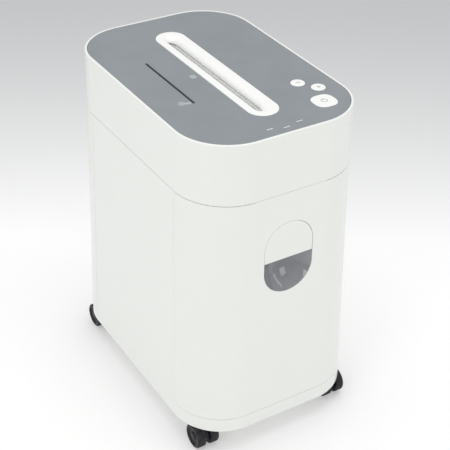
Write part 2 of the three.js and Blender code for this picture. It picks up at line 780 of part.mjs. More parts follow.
/** Comb whose fingers reach between the discs of one drum. */
function stripperComb(name, side, count) {
  const tip = shaftX + spacerRadius + 1;
  const root = shaftX + discRadius + 2;
  const back = root + combWidth;
  const shape = new THREE.Shape();
  const end = plateInner - gap;
  shape.moveTo(back, -end);
  shape.lineTo(back, end);
  shape.lineTo(root, end);
  const width = discPitch - discThickness - 2 * combAir;
  const first = (-(count - 2) * discPitch) / 2;
  for (let i = count - 2; i >= 0; i -= 1) {
    const y = first + i * discPitch;
    shape.lineTo(root, y + width / 2);
    shape.lineTo(tip, y + width / 2);
    shape.lineTo(tip, y - width / 2);
    shape.lineTo(root, y - width / 2);
  }
  shape.lineTo(root, -end);
  shape.closePath();
  const z = shaftZ - combThickness / 2;
  const comb = prism(shape, z, z + combThickness);
  return part(name, side > 0 ? comb : comb.mirror([1, 0, 0]), nylon);
}

// ---------------------------------------------------------------- gears

/** Angle between an involute's start and its point at a radius. */
function involuteAngle(baseRadius, radius) {
  const angle = Math.acos(Math.min(1, baseRadius / radius));
  return Math.tan(angle) - angle;
}

/** Outline of a stub-toothed involute gear with a tooth centred on an angle. */
function gearShape(teeth, module, phase, bore) {
  const pitch = (module * teeth) / 2;
  const base = pitch * Math.cos(pressureAngle);
  const tip = pitch + addendum * module;
  const root = pitch - dedendum * module;
  const start = Math.max(base, root);
  const radii = [root, start, (start + tip) / 2, tip];
  const halfAtPitch = Math.PI / (2 * teeth) - backlash / (4 * pitch);
  const half = (radius) =>
    halfAtPitch + involuteAngle(base, pitch) - involuteAngle(base, Math.max(radius, base));
  const shape = new THREE.Shape();
  for (let i = 0; i < teeth; i += 1) {
    const middle = phase + (2 * Math.PI * i) / teeth;
    const flank = [
      ...radii.map((radius) => [radius, middle - half(radius)]),
      ...radii.toReversed().map((radius) => [radius, middle + half(radius)]),
    ];
    flank.forEach(([radius, angle], k) => {
      const [x, z] = [radius * Math.cos(angle), radius * Math.sin(angle)];
      if (i === 0 && k === 0) shape.moveTo(x, z);
      else shape.lineTo(x, z);
    });
  }
  shape.closePath();
  const hole = new THREE.Path();
  for (let i = 0; i <= boreSides; i += 1) {
    const angle = (2 * Math.PI * i) / boreSides;
    if (i === 0) hole.moveTo(bore, 0);
    else hole.lineTo(bore * Math.cos(angle), bore * Math.sin(angle));
  }
  if (bore > 0) shape.holes.push(hole);
  return shape;
}

/** Phase of a gear that meshes with another along a line of centres. */
function meshPhase(leaderTeeth, leaderPhase, line, teeth) {
  return line + Math.PI - (Math.PI - leaderTeeth * (line - leaderPhase)) / teeth;
}

/** Gear at a place, between two depths. */
function gear({ teeth, module, phase, bore, x, z, y0 }) {
  return prismY(gearShape(teeth, module, phase, bore), y0, y0 + gearWidth).translate([x, 0, z]);
}

function gearTrain() {
  const shaftBore = shaftRadius + gap;
  const syncPhase = Math.PI; // drum a has a tooth pointing at drum b
  const syncA = gear({
    teeth: syncTeeth, module: syncModule, phase: syncPhase, bore: shaftBore,
    x: shaftX, z: shaftZ, y0: syncStart,
  });
  const syncB = gear({
    teeth: syncTeeth, module: syncModule, bore: shaftBore, x: -shaftX, z: shaftZ, y0: syncStart,
    phase: meshPhase(syncTeeth, syncPhase, Math.PI, syncTeeth),
  });
  const drive = gear({
    teeth: driveTeeth, module: driveModule, phase: 0, bore: shaftBore,
    x: shaftX, z: shaftZ, y0: driveStart,
  });
  const smallStage = gear({
    teeth: compoundSmallTeeth, module: driveModule, bore: 0, ...compound, y0: driveStart,
    phase: meshPhase(driveTeeth, 0, compoundAngle, compoundSmallTeeth),
  });
  const largeStage = gear({
    teeth: compoundLargeTeeth, module: motorModule, phase: 0, bore: 0, ...compound, y0: motorStart,
  });
  const hubBore = rod(compound.x, compound.z, idlerRadius + gap, driveStart - 1, gearboxStart);
  const hub = rod(compound.x, compound.z, idlerRadius + 2, driveStart, motorStart + gearWidth);
  const pinionGear = gear({
    teeth: pinionTeeth, module: motorModule, bore: 0, ...motor, y0: motorStart,
    phase: meshPhase(compoundLargeTeeth, 0, 0, pinionTeeth),
  });
  const motorShaft = rod(
    motor.x, motor.z, motorShaftRadius, plateInner - motorShaftDepth, motorStart + 1,
  );
  return {
    syncA: part('sync_gear_a', syncA, nylon),
    syncB: part('sync_gear_b', syncB, nylon),
    drive: part('drive_gear', drive, nylon),
    compound: part('compound_gear', union(smallStage, largeStage, hub).subtract(hubBore), nylon),
    pinion: part('motor_pinion', union(pinionGear, motorShaft), steel),
  };
}

/** Axle of the compound gear, from the rear plate to the outer gear plate. */
const idlerAxle = () => part(
  'idler_axle',
  rod(compound.x, compound.z, idlerRadius, plateInner - gap - 2, gearboxStart + plateThickness + 1),
  steel,
);

/** Outer plate of the gear train, on two legs from the rear plate. */
function gearboxPlate() {
  const z0 = chassisTop + gap;
  const footTop = z0 + footHeight;
  const legStart = plateOuter + gap;
  const far = gearboxStart + plateThickness;
  const left = -shaftX - (syncModule * syncTeeth) / 2 - footClearance;
  const right = compound.x + (motorModule * compoundLargeTeeth) / 2 + 6;
  const plate = box(
    compound.x - gearboxHalf, compound.x + gearboxHalf, gearboxStart, far, z0, compound.z + gearboxHalf,
  );
  const foot = box(left, right, gearboxStart, far, z0, footTop);
  const legs = [left, right - plateThickness].map((x) =>
    box(x, x + plateThickness, legStart, far, z0, footTop));
  const hole = rod(compound.x, compound.z, idlerRadius + gap, gearboxStart - 1, far + 1);
  return part('gearbox_plate', union(plate, foot, ...legs).subtract(hole), steel);
}

/** Motor can with a blind bore round the pinion's shaft. */
function motorBody() {
  const y1 = plateInner - gap;
  const can = rod(motor.x, motor.z, motorRadius, y1 - motorLength, y1, 24);
  const tail = rod(
    motor.x, motor.z, motorRadius - motorTailStep, y1 - motorLength - motorTailLength, y1 - motorLength + 1,
  );
  const bore = rod(motor.x, motor.z, motorShaftRadius + gap, plateInner - motorShaftDepth - 1, y1 + 1);
  return part('motor_body', union(can, tail).subtract(bore), steel);
}

/** Switch that stops the cutters when the bin is out; the tub's tab stands in front of it. */
function interlockSwitch() {
  const y0 = tubRear + tabDepth + interlockAir;
  const half = interlockWidth / 2 + 2;
  const body = box(
    interlockX - half, interlockX + half, y0, y0 + interlockDepth, tubTop - tabRise, chassisBottom - gap,
  );
  const plunger = box(interlockX - 2, interlockX + 2, y0 - plungerReach, y0 + 1, tubTop - 1, tubTop + 3);
  return part('interlock_switch', union(body, plunger), blackPlastic);
}

// ---------------------------------------------------------------- casters

/** One twin-wheel caster; it trails away from the middle of the cabinet. */
function caster(tag, sx, sy) {
  const [x, y] = [sx * casterX, sy * casterY];
  const axleY = y + sy * casterTrail;
  const webHalf = twinWidth / 2 - wheelWidth - gap;
  const span = (a, b) => [Math.min(a, b), Math.max(a, b)];
  const hoodBottom = baseClearance + gap / 2;

  const web = box(
    x - webHalf, x + webHalf, ...span(y - sy * hoodRadius * 0.7, axleY), wheelRadius - webDrop, hoodBottom + 1,
  );
  const webRound = pin(axleY, wheelRadius, webRadius, x - webHalf, x + webHalf, 16);
  const cap = post(x, y, hoodRadius, hoodBottom, baseClearance + hoodHeight);
  const axleHole = pin(axleY, wheelRadius, axleRadius + gap, x - webHalf - 1, x + webHalf + 1);
  const stemHole = post(x, y, stemRadius + gap, hoodBottom + 2, baseClearance + hoodHeight + 1);
  const hood = cut(union(web, webRound, cap), axleHole, stemHole);
  const stem = post(x, y, stemRadius, hoodBottom + 2 + gap, baseClearance + stemLength);
  const axleHalf = twinWidth / 2 - axleRecess;
  const axle = pin(axleY, wheelRadius, axleRadius, x - axleHalf, x + axleHalf);

  return {
    hood: part(`caster_hood_${tag}`, hood, blackPlastic),
    stem: part(`caster_stem_${tag}`, stem, steel),
    axle: part(`caster_axle_${tag}`, axle, steel),
    left: part(`caster_wheel_${tag}_left`, casterWheel(x, -1, axleY), tread),
    right: part(`caster_wheel_${tag}_right`, casterWheel(x, 1, axleY), tread),
  };
}

/** Wheel with a flat-sided tread, one side of it down, and a blind bore for the axle. */
function casterWheel(x, side, axleY) {
  const outer = wheelRadius / Math.cos(Math.PI / wheelSides);
  const half = wheelWidth / 2;
  const profile = [
    [0, -half], [outer - treadChamfer, -half], [outer, -half + treadChamfer],
    [outer, half - treadChamfer], [outer - treadChamfer, half], [0, half],
  ];
  const geometry = new THREE.LatheGeometry(profile.map(([r, h]) => new THREE.Vector2(r, h)), wheelSides);
  geometry.rotateY(Math.PI / wheelSides);
  geometry.rotateZ(-side * Math.PI / 2);
  geometry.translate(x + side * (twinWidth / 2 - half), axleY, wheelRadius);
  const end = side * (twinWidth / 2 - hubWall);
  const blind = pin(axleY, wheelRadius, axleRadius + gap, x + Math.min(end, 0), x + Math.max(end, 0));
  return solid(geometry).subtract(blind);
}

// ---------------------------------------------------------------- assembly

const group = (...meshes) => new THREE.Group().add(...meshes);
const gears = gearTrain();
const shredder = new THREE.Group();

shredder.add(
  cabinetShell(), rearPanel(), headShell(), topPanel(), feedBezel(), discSlotLiner(),
  indicatorLightGuide(), controlBoard(), cordGland(), headChassis(), interlockSwitch(),
  sidePlate('side_plate_front', -plateOuter, plateHalfWidth),
  sidePlate('side_plate_rear', plateInner, motor.x + motorPlateMargin),
  bush('bush_front_a', shaftX, -1), bush('bush_front_b', -shaftX, -1),
  bush('bush_rear_a', shaftX, 1), bush('bush_rear_b', -shaftX, 1),
  tieRod('tie_rod_left', -tieRodX), tieRod('tie_rod_right', tieRodX),
  stripperComb('stripper_comb_right', 1, discCount),
  stripperComb('stripper_comb_left', -1, discCount - 1),
  motorBody(), idlerAxle(), gearboxPlate(),
);
shredder.add(group(binFrontPanel(), gripCover(), viewWindow(), binTub()));
shredder.add(...keys());
shredder.add(group(
  cutterDrum('cutter_drum_a', shaftX, discCount, -plateOuter - shaftOverhang, driveStart + gearWidth + 1),
  gears.syncA, gears.drive,
));
shredder.add(group(
  cutterDrum('cutter_drum_b', -shaftX, discCount - 1, -plateOuter - shaftOverhang, syncStart + gearWidth + 1),
  gears.syncB,
));
shredder.add(gears.compound, gears.pinion);

for (const [tag, sx, sy] of [
  ['front_left', -1, -1], ['front_right', 1, -1], ['rear_left', -1, 1], ['rear_right', 1, 1],
]) {
  const { hood, stem, axle, left, right } = caster(tag, sx, sy);
  shredder.add(group(hood, stem, axle, left, right));
}

export default shredder;
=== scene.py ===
"""Floor-standing paper shredder: the finished covers, bin, keys, cutter block and casters.

Every piece is built in millimetres with bmesh, scaled to metres as it is finished, and rides on
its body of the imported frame. Places come from the frame's boxes; sizes are dataclass fields.
"""

from __future__ import annotations

import logging
import math
import sys
from dataclasses import dataclass, field
from enum import Enum
from typing import Any, Iterable, Sequence

import bmesh
import bpy
from mathutils import Matrix, Vector


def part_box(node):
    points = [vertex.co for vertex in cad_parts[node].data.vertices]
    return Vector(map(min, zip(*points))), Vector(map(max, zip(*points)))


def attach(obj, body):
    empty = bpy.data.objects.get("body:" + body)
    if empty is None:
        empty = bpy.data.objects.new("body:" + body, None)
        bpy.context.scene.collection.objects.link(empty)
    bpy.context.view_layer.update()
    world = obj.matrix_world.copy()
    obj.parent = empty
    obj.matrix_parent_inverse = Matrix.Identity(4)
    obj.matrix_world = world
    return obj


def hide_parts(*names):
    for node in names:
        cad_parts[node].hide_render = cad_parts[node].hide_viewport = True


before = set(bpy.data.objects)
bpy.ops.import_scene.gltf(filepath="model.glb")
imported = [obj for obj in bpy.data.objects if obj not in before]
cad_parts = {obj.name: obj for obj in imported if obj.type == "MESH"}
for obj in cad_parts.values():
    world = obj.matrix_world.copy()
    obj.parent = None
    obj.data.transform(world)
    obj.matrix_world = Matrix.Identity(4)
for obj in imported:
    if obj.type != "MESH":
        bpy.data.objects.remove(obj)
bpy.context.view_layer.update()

MM = 0.001
CORNER_STEPS = 96  # steps round a cover's outline
AIR = 0.35  # clearance between neighbouring pieces, mm
BOARD_PARTS = 3.5  # height of the push switches above the circuit board, mm
PRINT_LIFT = 0.005  # printed symbols lie this much above what carries them, mm
log = logging.getLogger("shredder")

Profile = Sequence[tuple[float, float]]


# ---------------------------------------------------------------- colours, nodes and finishes


def linear(code: str) -> tuple[float, float, float, float]:
    """Turn an sRGB hex colour into the linear colour that shaders use.

    Args:
        code: Six hexadecimal digits.

    Returns:
        Linear red, green, blue and an alpha of one.
    """
    values = [int(code[i : i + 2], 16) / 255 for i in (0, 2, 4)]
    red, green, blue = (v / 12.92 if v <= 0.04045 else ((v + 0.055) / 1.055) ** 2.4 for v in values)
    return (red, green, blue, 1.0)


def add_node(tree: bpy.types.NodeTree, kind: str, settings: dict[str, Any], inputs: dict) -> bpy.types.Node:
    """Add one node with its settings, socket values and links.

    Args:
        tree: Node tree that gets the node.
        kind: Node type, such as ShaderNodeTexNoise.
        settings: Attribute names and values.
        inputs: Socket name or index to a value, or to the output socket that feeds it.

    Returns:
        The new node.
    """
    node = tree.nodes.new(kind)
    for name, value in settings.items():
        setattr(node, name, value)
    for name, value in inputs.items():
        if isinstance(value, bpy.types.NodeSocket):
            tree.links.new(value, node.inputs[name])
        else:
            node.inputs[name].default_value = value
    return node


@dataclass(frozen=True)
class Finish:
    """A surface with one base colour; subclasses add the pattern of how it was made."""

    name: str
    colour: str
    roughness: float
    ior: float = 1.5
    metallic: float = 0.0
    coat: float = 0.0
    transmission: float = 0.0

    def material(self) -> bpy.types.Material:
        """Build the material once and return it."""
        known = bpy.data.materials.get(self.name)
        if known:
            return known
        material = bpy.data.materials.new(self.name)
        material.use_nodes = True
        tree = material.node_tree
        shader = tree.nodes["Principled BSDF"]
        shader.inputs["Base Color"].default_value = linear(self.colour)
        shader.inputs["Roughness"].default_value = self.roughness
        shader.inputs["Metallic"].default_value = self.metallic
        shader.inputs["IOR"].default_value = self.ior
        shader.inputs["Coat Weight"].default_value = self.coat
        shader.inputs["Transmission Weight"].default_value = self.transmission
        place = add_node(tree, "ShaderNodeTexCoord", {}, {}).outputs["Object"]
        self.pattern(tree, shader, place)
        return material

    def pattern(self, tree: bpy.types.NodeTree, shader: bpy.types.Node, place: bpy.types.NodeSocket) -> None:
        """Add the pattern; the plain finish has none.

        Args:
            tree: The material's node tree.
            shader: Its Principled shader.
            place: Object coordinates, in metres.
        """

    def blend(self, tree: bpy.types.NodeTree, shader: bpy.types.Node, share: bpy.types.NodeSocket,
              first: str, second: str) -> None:
        """Colour the surface between two tones, by a share from nought to one."""
        mixed = add_node(
            tree, "ShaderNodeMix", {"data_type": "RGBA"}, {0: share, 6: linear(first), 7: linear(second)},
        )
        tree.links.new(mixed.outputs[2], shader.inputs["Base Color"])

    def emboss(self, tree: bpy.types.NodeTree, shader: bpy.types.Node, height: bpy.types.NodeSocket,
               distance: float) -> None:
        """Raise the surface by a pattern, up to a distance in millimetres."""
        relief = add_node(
            tree, "ShaderNodeBump", {}, {"Height": height, "Strength": 1.0, "Distance": distance * MM},
        )
        tree.links.new(relief.outputs["Normal"], shader.inputs["Normal"])


@dataclass(frozen=True)
class Moulded(Finish):
    """Injection-moulded plastic: fine tool grain, slow unevenness of gloss and of tone."""

    grain: float = 0.8  # mm between grains of the tool's texture
    grain_height: float = 0.01  # mm
    patch: float = 45.0  # mm across a patch of slightly different gloss
    gloss_spread: float = 0.04
    shade: str = "000000"  # tone that the patches lean to
    shade_share: float = 0.03

    def pattern(self, tree: bpy.types.NodeTree, shader: bpy.types.Node, place: bpy.types.NodeSocket) -> None:
        """Add grain, gloss patches and a faint tone change."""
        patches = add_node(
            tree, "ShaderNodeTexNoise", {},
            {"Vector": place, "Scale": 1000 / self.patch, "Detail": 3.0, "Roughness": 0.6},
        )
        tone = add_node(
            tree, "ShaderNodeMapRange", {},
            {"Value": patches.outputs["Fac"], "From Min": 0.35, "From Max": 0.65, "To Max": self.shade_share},
        )
        self.blend(tree, shader, tone.outputs["Result"], self.colour, self.shade)
        gloss = add_node(
            tree, "ShaderNodeMapRange", {},
            {"Value": patches.outputs["Fac"], "From Min": 0.3, "From Max": 0.7,
             "To Min": self.roughness - self.gloss_spread, "To Max": self.roughness + self.gloss_spread},
        )
        tree.links.new(gloss.outputs["Result"], shader.inputs["Roughness"])
        grains = add_node(
            tree, "ShaderNodeTexNoise", {},
            {"Vector": place, "Scale": 1000 / self.grain, "Detail": 2.0, "Roughness": 0.5},
        )
        self.emboss(tree, shader, grains.outputs["Fac"], self.grain_height)


@dataclass(frozen=True)
class Worked(Finish):
    """Metal with the marks of its making: lines drawn out along one axis over a mottled tone."""

    line: float = 0.6  # mm between lines
    stretch: tuple[float, float, float] = (1.0, 1.0, 1.0)  # small along the lines
    relief_height: float = 0.004  # mm
    mottle: float = 6.0  # mm across a crystal or an oil patch
    dark: str = "606060"

    def pattern(self, tree: bpy.types.NodeTree, shader: bpy.types.Node, place: bpy.types.NodeSocket) -> None:
        """Add drawn lines to the relief and gloss, and mottling to the colour."""
        drawn = add_node(tree, "ShaderNodeMapping", {}, {"Vector": place, "Scale": self.stretch})
        lines = add_node(
            tree, "ShaderNodeTexNoise", {},
            {"Vector": drawn.outputs["Vector"], "Scale": 1000 / self.line, "Detail": 2.0, "Roughness": 0.6},
        )
        crystals = add_node(
            tree, "ShaderNodeTexVoronoi", {}, {"Vector": place, "Scale": 1000 / self.mottle},
        )
        tone = add_node(
            tree, "ShaderNodeMapRange", {}, {"Value": crystals.outputs["Distance"], "To Max": 0.45},
        )
        self.blend(tree, shader, tone.outputs["Result"], self.colour, self.dark)
        gloss = add_node(
            tree, "ShaderNodeMapRange", {},
            {"Value": lines.outputs["Fac"], "To Min": self.roughness - 0.1, "To Max": self.roughness + 0.14},
        )
        tree.links.new(gloss.outputs["Result"], shader.inputs["Roughness"])
        self.emboss(tree, shader, lines.outputs["Fac"], self.relief_height)


@dataclass(frozen=True)
class SolderMask(Finish):
    """Printed board: copper tracks show as lighter, raised lanes through the lacquer."""

    lane: float = 3.2  # mm between tracks
    track: str = "3F7F4C"
    track_height: float = 0.03  # mm

    def pattern(self, tree: bpy.types.NodeTree, shader: bpy.types.Node, place: bpy.types.NodeSocket) -> None:
        """Add lanes of tracks as a brick pattern."""
        lanes = add_node(
            tree, "ShaderNodeTexBrick", {"offset": 0.37, "squash": 1.0},
            {"Vector": place, "Scale": 1.0, "Color1": linear(self.colour), "Color2": linear(self.colour),
             "Mortar": linear(self.track), "Mortar Size": 0.35 * MM, "Mortar Smooth": 0.2,
             "Brick Width": 6 * self.lane * MM, "Row Height": self.lane * MM},
        )
        tree.links.new(lanes.outputs["Color"], shader.inputs["Base Color"])
        self.emboss(tree, shader, lanes.outputs["Fac"], self.track_height)


@dataclass(frozen=True)
class PaintedShadeFloor(Finish):
    """White sweep with a painted glow that lifts its shadows, and painted shade that fades it to a soft grey
    behind the object.
    """

    # Grey that the painted shade fades the floor to, far behind the object.
    painted_shade_grey: str = "8C8E90"
    near: float = 300.0  # mm behind the middle where the grey starts
    end: float = 1400.0
    away: tuple[float, float, float] = (0.5265, 0.8502, 0.0)  # direction of the fade
    falloff: float = 1.75
    # Strength of a painted glow that lifts the whole floor and its shadows.
    painted_glow: float = 0.3

    def pattern(self, tree: bpy.types.NodeTree, shader: bpy.types.Node, place: bpy.types.NodeSocket) -> None:
        """Paint a glow over the floor, and painted shade that fades its colour with the distance along one
        direction.
        """
        # Painted glow: the floor gives off light evenly, so its shadows come out lighter.
        shader.inputs["Emission Color"].default_value = (1.0, 1.0, 1.0, 1.0)
        shader.inputs["Emission Strength"].default_value = self.painted_glow
        # Painted shade: the colour fades to grey with the distance along the fade's direction, which points
        # away from the camera.
        behind = add_node(
            tree, "ShaderNodeVectorMath", {"operation": "DOT_PRODUCT"}, {0: place, 1: self.away},
        )
        left = add_node(
            tree, "ShaderNodeMapRange", {},
            {"Value": behind.outputs["Value"], "From Min": self.near * MM, "From Max": self.end * MM,
             "To Min": 1.0, "To Max": 0.0},
        )
        share = add_node(
            tree, "ShaderNodeMath", {"operation": "POWER"}, {0: left.outputs["Result"], 1: self.falloff},
        )
        self.blend(tree, shader, share.outputs["Value"], self.painted_shade_grey, self.colour)


# Covers: ABS moulded in a polished tool, so white with a soft gloss and hardly any grain.
WHITE_ABS = Moulded("glossy white moulded ABS", "EEF0EC", 0.24, ior=1.54, grain=2.5, grain_height=0.002,
                    patch=90.0, gloss_spread=0.015, shade="B9BAB2", shade_share=0.02)
# Keys and bezel: the same ABS from a finer tool, a touch brighter.
KEY_ABS = Moulded("satin white moulded ABS", "F4F5F3", 0.32, ior=1.54, grain=1.2, grain_height=0.003,
                  patch=40.0, shade="C4C6C2", shade_share=0.04)
# Top panel: spark-eroded tool, a fine even grain that scatters the light to a flat grey.
GREY_ABS = Moulded("spark-textured grey ABS", "888E93", 0.5, ior=1.54, grain=0.9, grain_height=0.05,
                   patch=60.0, shade="767C82", shade_share=0.25)
# Inner mouldings: black ABS with a coarser grain, dull.
BLACK_ABS = Moulded("grained black ABS", "1B1C1F", 0.46, ior=1.54, grain=1.1, grain_height=0.04,
                    patch=30.0, shade="2A2B2E", shade_share=0.5)
# Bowl of the scoop: smoked polycarbonate, polished, deep grey with sharp reflections.
SMOKED_PC = Moulded("smoked polished polycarbonate", "96999E", 0.09, ior=1.585, coat=0.6, transmission=0.12,
                    grain=4.0, grain_height=0.001, patch=50.0, gloss_spread=0.02, shade="72767B",
                    shade_share=0.35)
# Light windows: opal acrylic, milky so that the lamp behind shows evenly.
OPAL_ACRYLIC = Moulded("opal moulded acrylic", "F4F6F7", 0.2, ior=1.49, transmission=0.1, grain=1.0,
                       grain_height=0.002, shade="DADDDF", shade_share=0.3)
# Caster bodies: glass-filled nylon, black with a low sheen and tiny flow marks.
BLACK_NYLON = Moulded("glass-filled black nylon", "0B0B10", 0.42, ior=1.36, grain=1.3, grain_height=0.02,
                      patch=12.0, shade="2C2C31", shade_share=0.6)
# Treads: softer nylon, scuffed dull where they roll.
TREAD_NYLON = Moulded("scuffed nylon tread", "111116", 0.62, ior=1.36, grain=0.9, grain_height=0.06,
                      patch=9.0, gloss_spread=0.1, shade="3A393B", shade_share=0.8)
# Gears and combs: unfilled nylon, cream and slightly waxy.
NATURAL_NYLON = Moulded("natural moulded nylon", "E3DCC8", 0.42, ior=1.53, grain=1.0, grain_height=0.01,
                        patch=14.0, shade="C8BDA2", shade_share=0.4)
# Plates and axles: zinc-plated sheet, bluish white with faint rolling lines.
ZINC_STEEL = Worked("zinc-plated rolled steel", "BFC2C4", 0.32, metallic=1.0, line=0.7,
                    stretch=(0.06, 1.0, 1.0), mottle=7.0, dark="9A9DA0")
# Cutters: ground and oiled tool steel, dark with bright turning lines.
CUTTER_STEEL = Worked("ground oiled tool steel", "8C8A86", 0.27, metallic=1.0, line=0.5,
                      stretch=(0.1, 1.0, 0.1), mottle=9.0, dark="55504A")
# Bushes: sintered bronze, warm, open-pored and a little oily.
SINTERED_BRONZE = Worked("sintered bronze", "B58C55", 0.42, metallic=1.0, line=0.45, relief_height=0.02,
                         mottle=1.2, dark="6E522E")
# Board: glass-epoxy laminate under green lacquer.
BOARD = SolderMask("green solder mask", "1F4E2E", 0.3, ior=1.5, coat=0.4)
# Symbols: grey pad-printed ink, matt and flat.
PRINT_INK = Moulded("grey pad-print ink", "83898E", 0.6, grain=0.6, grain_height=0.003, shade="767C81",
                    shade_share=0.4)
LIGHT_INK = Moulded("pale pad-print ink", "EDEFF0", 0.6, grain=0.6, grain_height=0.003, shade="D8DBDD",
                    shade_share=0.4)
# Floor: white sweep with a painted glow and painted shade that fades it to grey behind the object.
FLOOR_WHITE = PaintedShadeFloor("white sweep with painted glow and painted shade", "DADADA", 0.9)


# ---------------------------------------------------------------- mesh tools, in millimetres


class Axis(Enum):
    """Direction that a turned shape is spun about, with the direction its radius starts in."""

    X = (Vector((1, 0, 0)), Vector((0, 0, 1)))
    Y = (Vector((0, 1, 0)), Vector((0, 0, 1)))
    Z = (Vector((0, 0, 1)), Vector((1, 0, 0)))


@dataclass(frozen=True)
class Box:
    """Box of a node of the frame, in millimetres."""

    low: Vector
    high: Vector

    @classmethod
    def of(cls, node: str) -> "Box":
        """Read a node's box from the frame."""
        low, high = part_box(node)
        return cls(low / MM, high / MM)

    @property
    def middle(self) -> Vector:
        """Centre of the box."""
        return (self.low + self.high) / 2


def ring(
    bm: bmesh.types.BMesh, half_x: float, half_y: float, radius: float, z: float,
    steps: int = CORNER_STEPS, reach: float = 1.0, power: float = 2.0,
) -> list[bmesh.types.BMVert]:
    """Lay a closed outline with round corners, as a circle whose quarters are drawn apart.

    Args:
        bm: Mesh that gets the outline.
        half_x: Half its width.
        half_y: Half its length.
        radius: Corner radius.
        z: Height of the outline.
        steps: Edges in the outline.
        reach: How far the ends are drawn out along Y, one for round ends.
        power: Superellipse power of the corners, two for round ones.

    Returns:
        The outline's vertices.
    """
    turn = Matrix.Rotation(math.pi / steps, 4, "Z")
    made = bmesh.ops.create_circle(bm, cap_ends=False, segments=steps, radius=1.0, matrix=turn)
    for vert in made["verts"]:
        x, y = vert.co.x, vert.co.y
        bend_x = math.copysign(abs(x) ** (2 / power), x) * radius
        bend_y = math.copysign(abs(y) ** (2 / power), y) * radius * reach
        vert.co.x = bend_x + math.copysign(half_x - radius, x)
        vert.co.y = bend_y + math.copysign(half_y - radius * reach, y)
        vert.co.z = z
    return made["verts"]


def edges_of(verts: Iterable[bmesh.types.BMVert]) -> list[bmesh.types.BMEdge]:
    """Return the edges that join vertices of one outline, always in the same order."""
    chosen = dict.fromkeys(verts)
    return list(dict.fromkeys(e for v in chosen for e in v.link_edges if e.other_vert(v) in chosen))


def loft(bm: bmesh.types.BMesh, rings: Sequence[list[bmesh.types.BMVert]], caps: bool = True) -> None:
    """Skin a row of outlines, with a flat cap on each end.

    Args:
        bm: Mesh that holds the outlines.
        rings: Outlines in order, all with the same number of vertices.
        caps: Whether both ends are closed.
    """
    loops = [edges_of(verts) for verts in rings]
    for lower, upper in zip(loops, loops[1:]):
        bmesh.ops.bridge_loops(bm, edges=lower + upper)
    if caps:
        bmesh.ops.edgeloop_fill(bm, edges=loops[0])
        bmesh.ops.edgeloop_fill(bm, edges=loops[-1])


def loft_round(bm: bmesh.types.BMesh, rings: Sequence[list[bmesh.types.BMVert]]) -> None:
    """Skin a row of outlines whose last joins the first, such as a frame."""
    loops = [edges_of(verts) for verts in rings]
    for lower, upper in zip(loops, loops[1:] + loops[:1]):
        bmesh.ops.bridge_loops(bm, edges=lower + upper)


def arc(radius: float, steps: int, start: float = 0.0, end: float = 90.0) -> list[tuple[float, float]]:
    """Return points of an arc as (run, rise) pairs, angles in degrees."""
    angles = [math.radians(start + (end - start) * i / steps) for i in range(steps + 1)]
    return [(radius * math.cos(a), radius * math.sin(a)) for a in angles]


def turned(bm: bmesh.types.BMesh, profile: Profile, axis: Axis, centre: Sequence[float],
           steps: int = 48) -> None:
    """Spin a profile of (radius, height) pairs a full turn.

    Args:
        bm: Mesh that gets the turned shape.
        profile: Radius and height along the axis, starting and ending on the axis or closing on itself.
        axis: Axis of the spin.
        centre: Point on the axis that heights are measured from.
        steps: Steps in the turn.
    """
    along, out = axis.value
    origin = Vector(centre)
    verts = [bm.verts.new(origin + out * r + along * h) for r, h in profile]
    edges = [bm.edges.new(pair) for pair in zip(verts, verts[1:])]
    bmesh.ops.spin(
        bm, geom=verts + edges, cent=origin, axis=along, angle=2 * math.pi, steps=steps, use_merge=True,
    )
    bmesh.ops.remove_doubles(bm, verts=bm.verts[:], dist=1e-4)


def rod(bm: bmesh.types.BMesh, radius: float, low: float, high: float, axis: Axis,
        centre: Sequence[float]) -> None:
    """Add a plain rod, for a cutter that bores a hole."""
    turned(bm, [(0, low), (radius, low), (radius, high), (0, high)], axis, centre)


def brick(bm: bmesh.types.BMesh, low: Sequence[float], high: Sequence[float]) -> list[bmesh.types.BMVert]:
    """Add a block between two corners, for a cutter or for a rib that is softened later."""
    size = [b - a for a, b in zip(low, high)]
    place = Matrix.Translation([(a + b) / 2 for a, b in zip(low, high)]) @ Matrix.Diagonal((*size, 1))
    return bmesh.ops.create_cube(bm, size=1.0, matrix=place)["verts"]


def face_outwards(bm: bmesh.types.BMesh) -> None:
    """Turn the faces of an open sheet so that they point away from its middle."""
    bmesh.ops.recalc_face_normals(bm, faces=bm.faces[:])
    middle = sum((v.co for v in bm.verts), Vector()) / len(bm.verts)
    outward = sum(f.normal.dot(f.calc_center_median() - middle) * f.calc_area() for f in bm.faces)
    if outward < 0:
        bmesh.ops.reverse_faces(bm, faces=bm.faces[:])


def shift(bm: bmesh.types.BMesh, rings: Iterable[Iterable[bmesh.types.BMVert]], vec: Sequence[float]) -> None:
    """Move outlines that have just been laid."""
    bmesh.ops.translate(bm, vec=vec, verts=[v for verts in rings for v in verts])


def keep_above(bm: bmesh.types.BMesh, height: float) -> None:
    """Cut off what lies below a height of a flat-drawn shape and close the cut."""
    cut = bmesh.ops.bisect_plane(
        bm, geom=bm.verts[:] + bm.edges[:] + bm.faces[:], plane_co=Vector((0, height, 0)),
        plane_no=Vector((0, 1, 0)), clear_inner=True,
    )
    bmesh.ops.edgeloop_fill(bm, edges=[e for e in cut["geom_cut"] if isinstance(e, bmesh.types.BMEdge)])


def shape(name: str, bm: bmesh.types.BMesh, closed: bool = True) -> bpy.types.Object:
    """Turn a finished mesh into an object in metres.

    Args:
        name: Name of the object and its mesh.
        bm: Mesh in millimetres; it is freed.
        closed: Whether it is a closed shape, whose normals can be worked out.

    Returns:
        The object, at the origin.
    """
    if closed:
        bmesh.ops.recalc_face_normals(bm, faces=bm.faces[:])
    bmesh.ops.scale(bm, vec=(MM, MM, MM), verts=bm.verts[:])
    mesh = bpy.data.meshes.new(name)
    bm.to_mesh(mesh)
    bm.free()
    made = bpy.data.objects.new(name, mesh)
    bpy.context.scene.collection.objects.link(made)
    return made


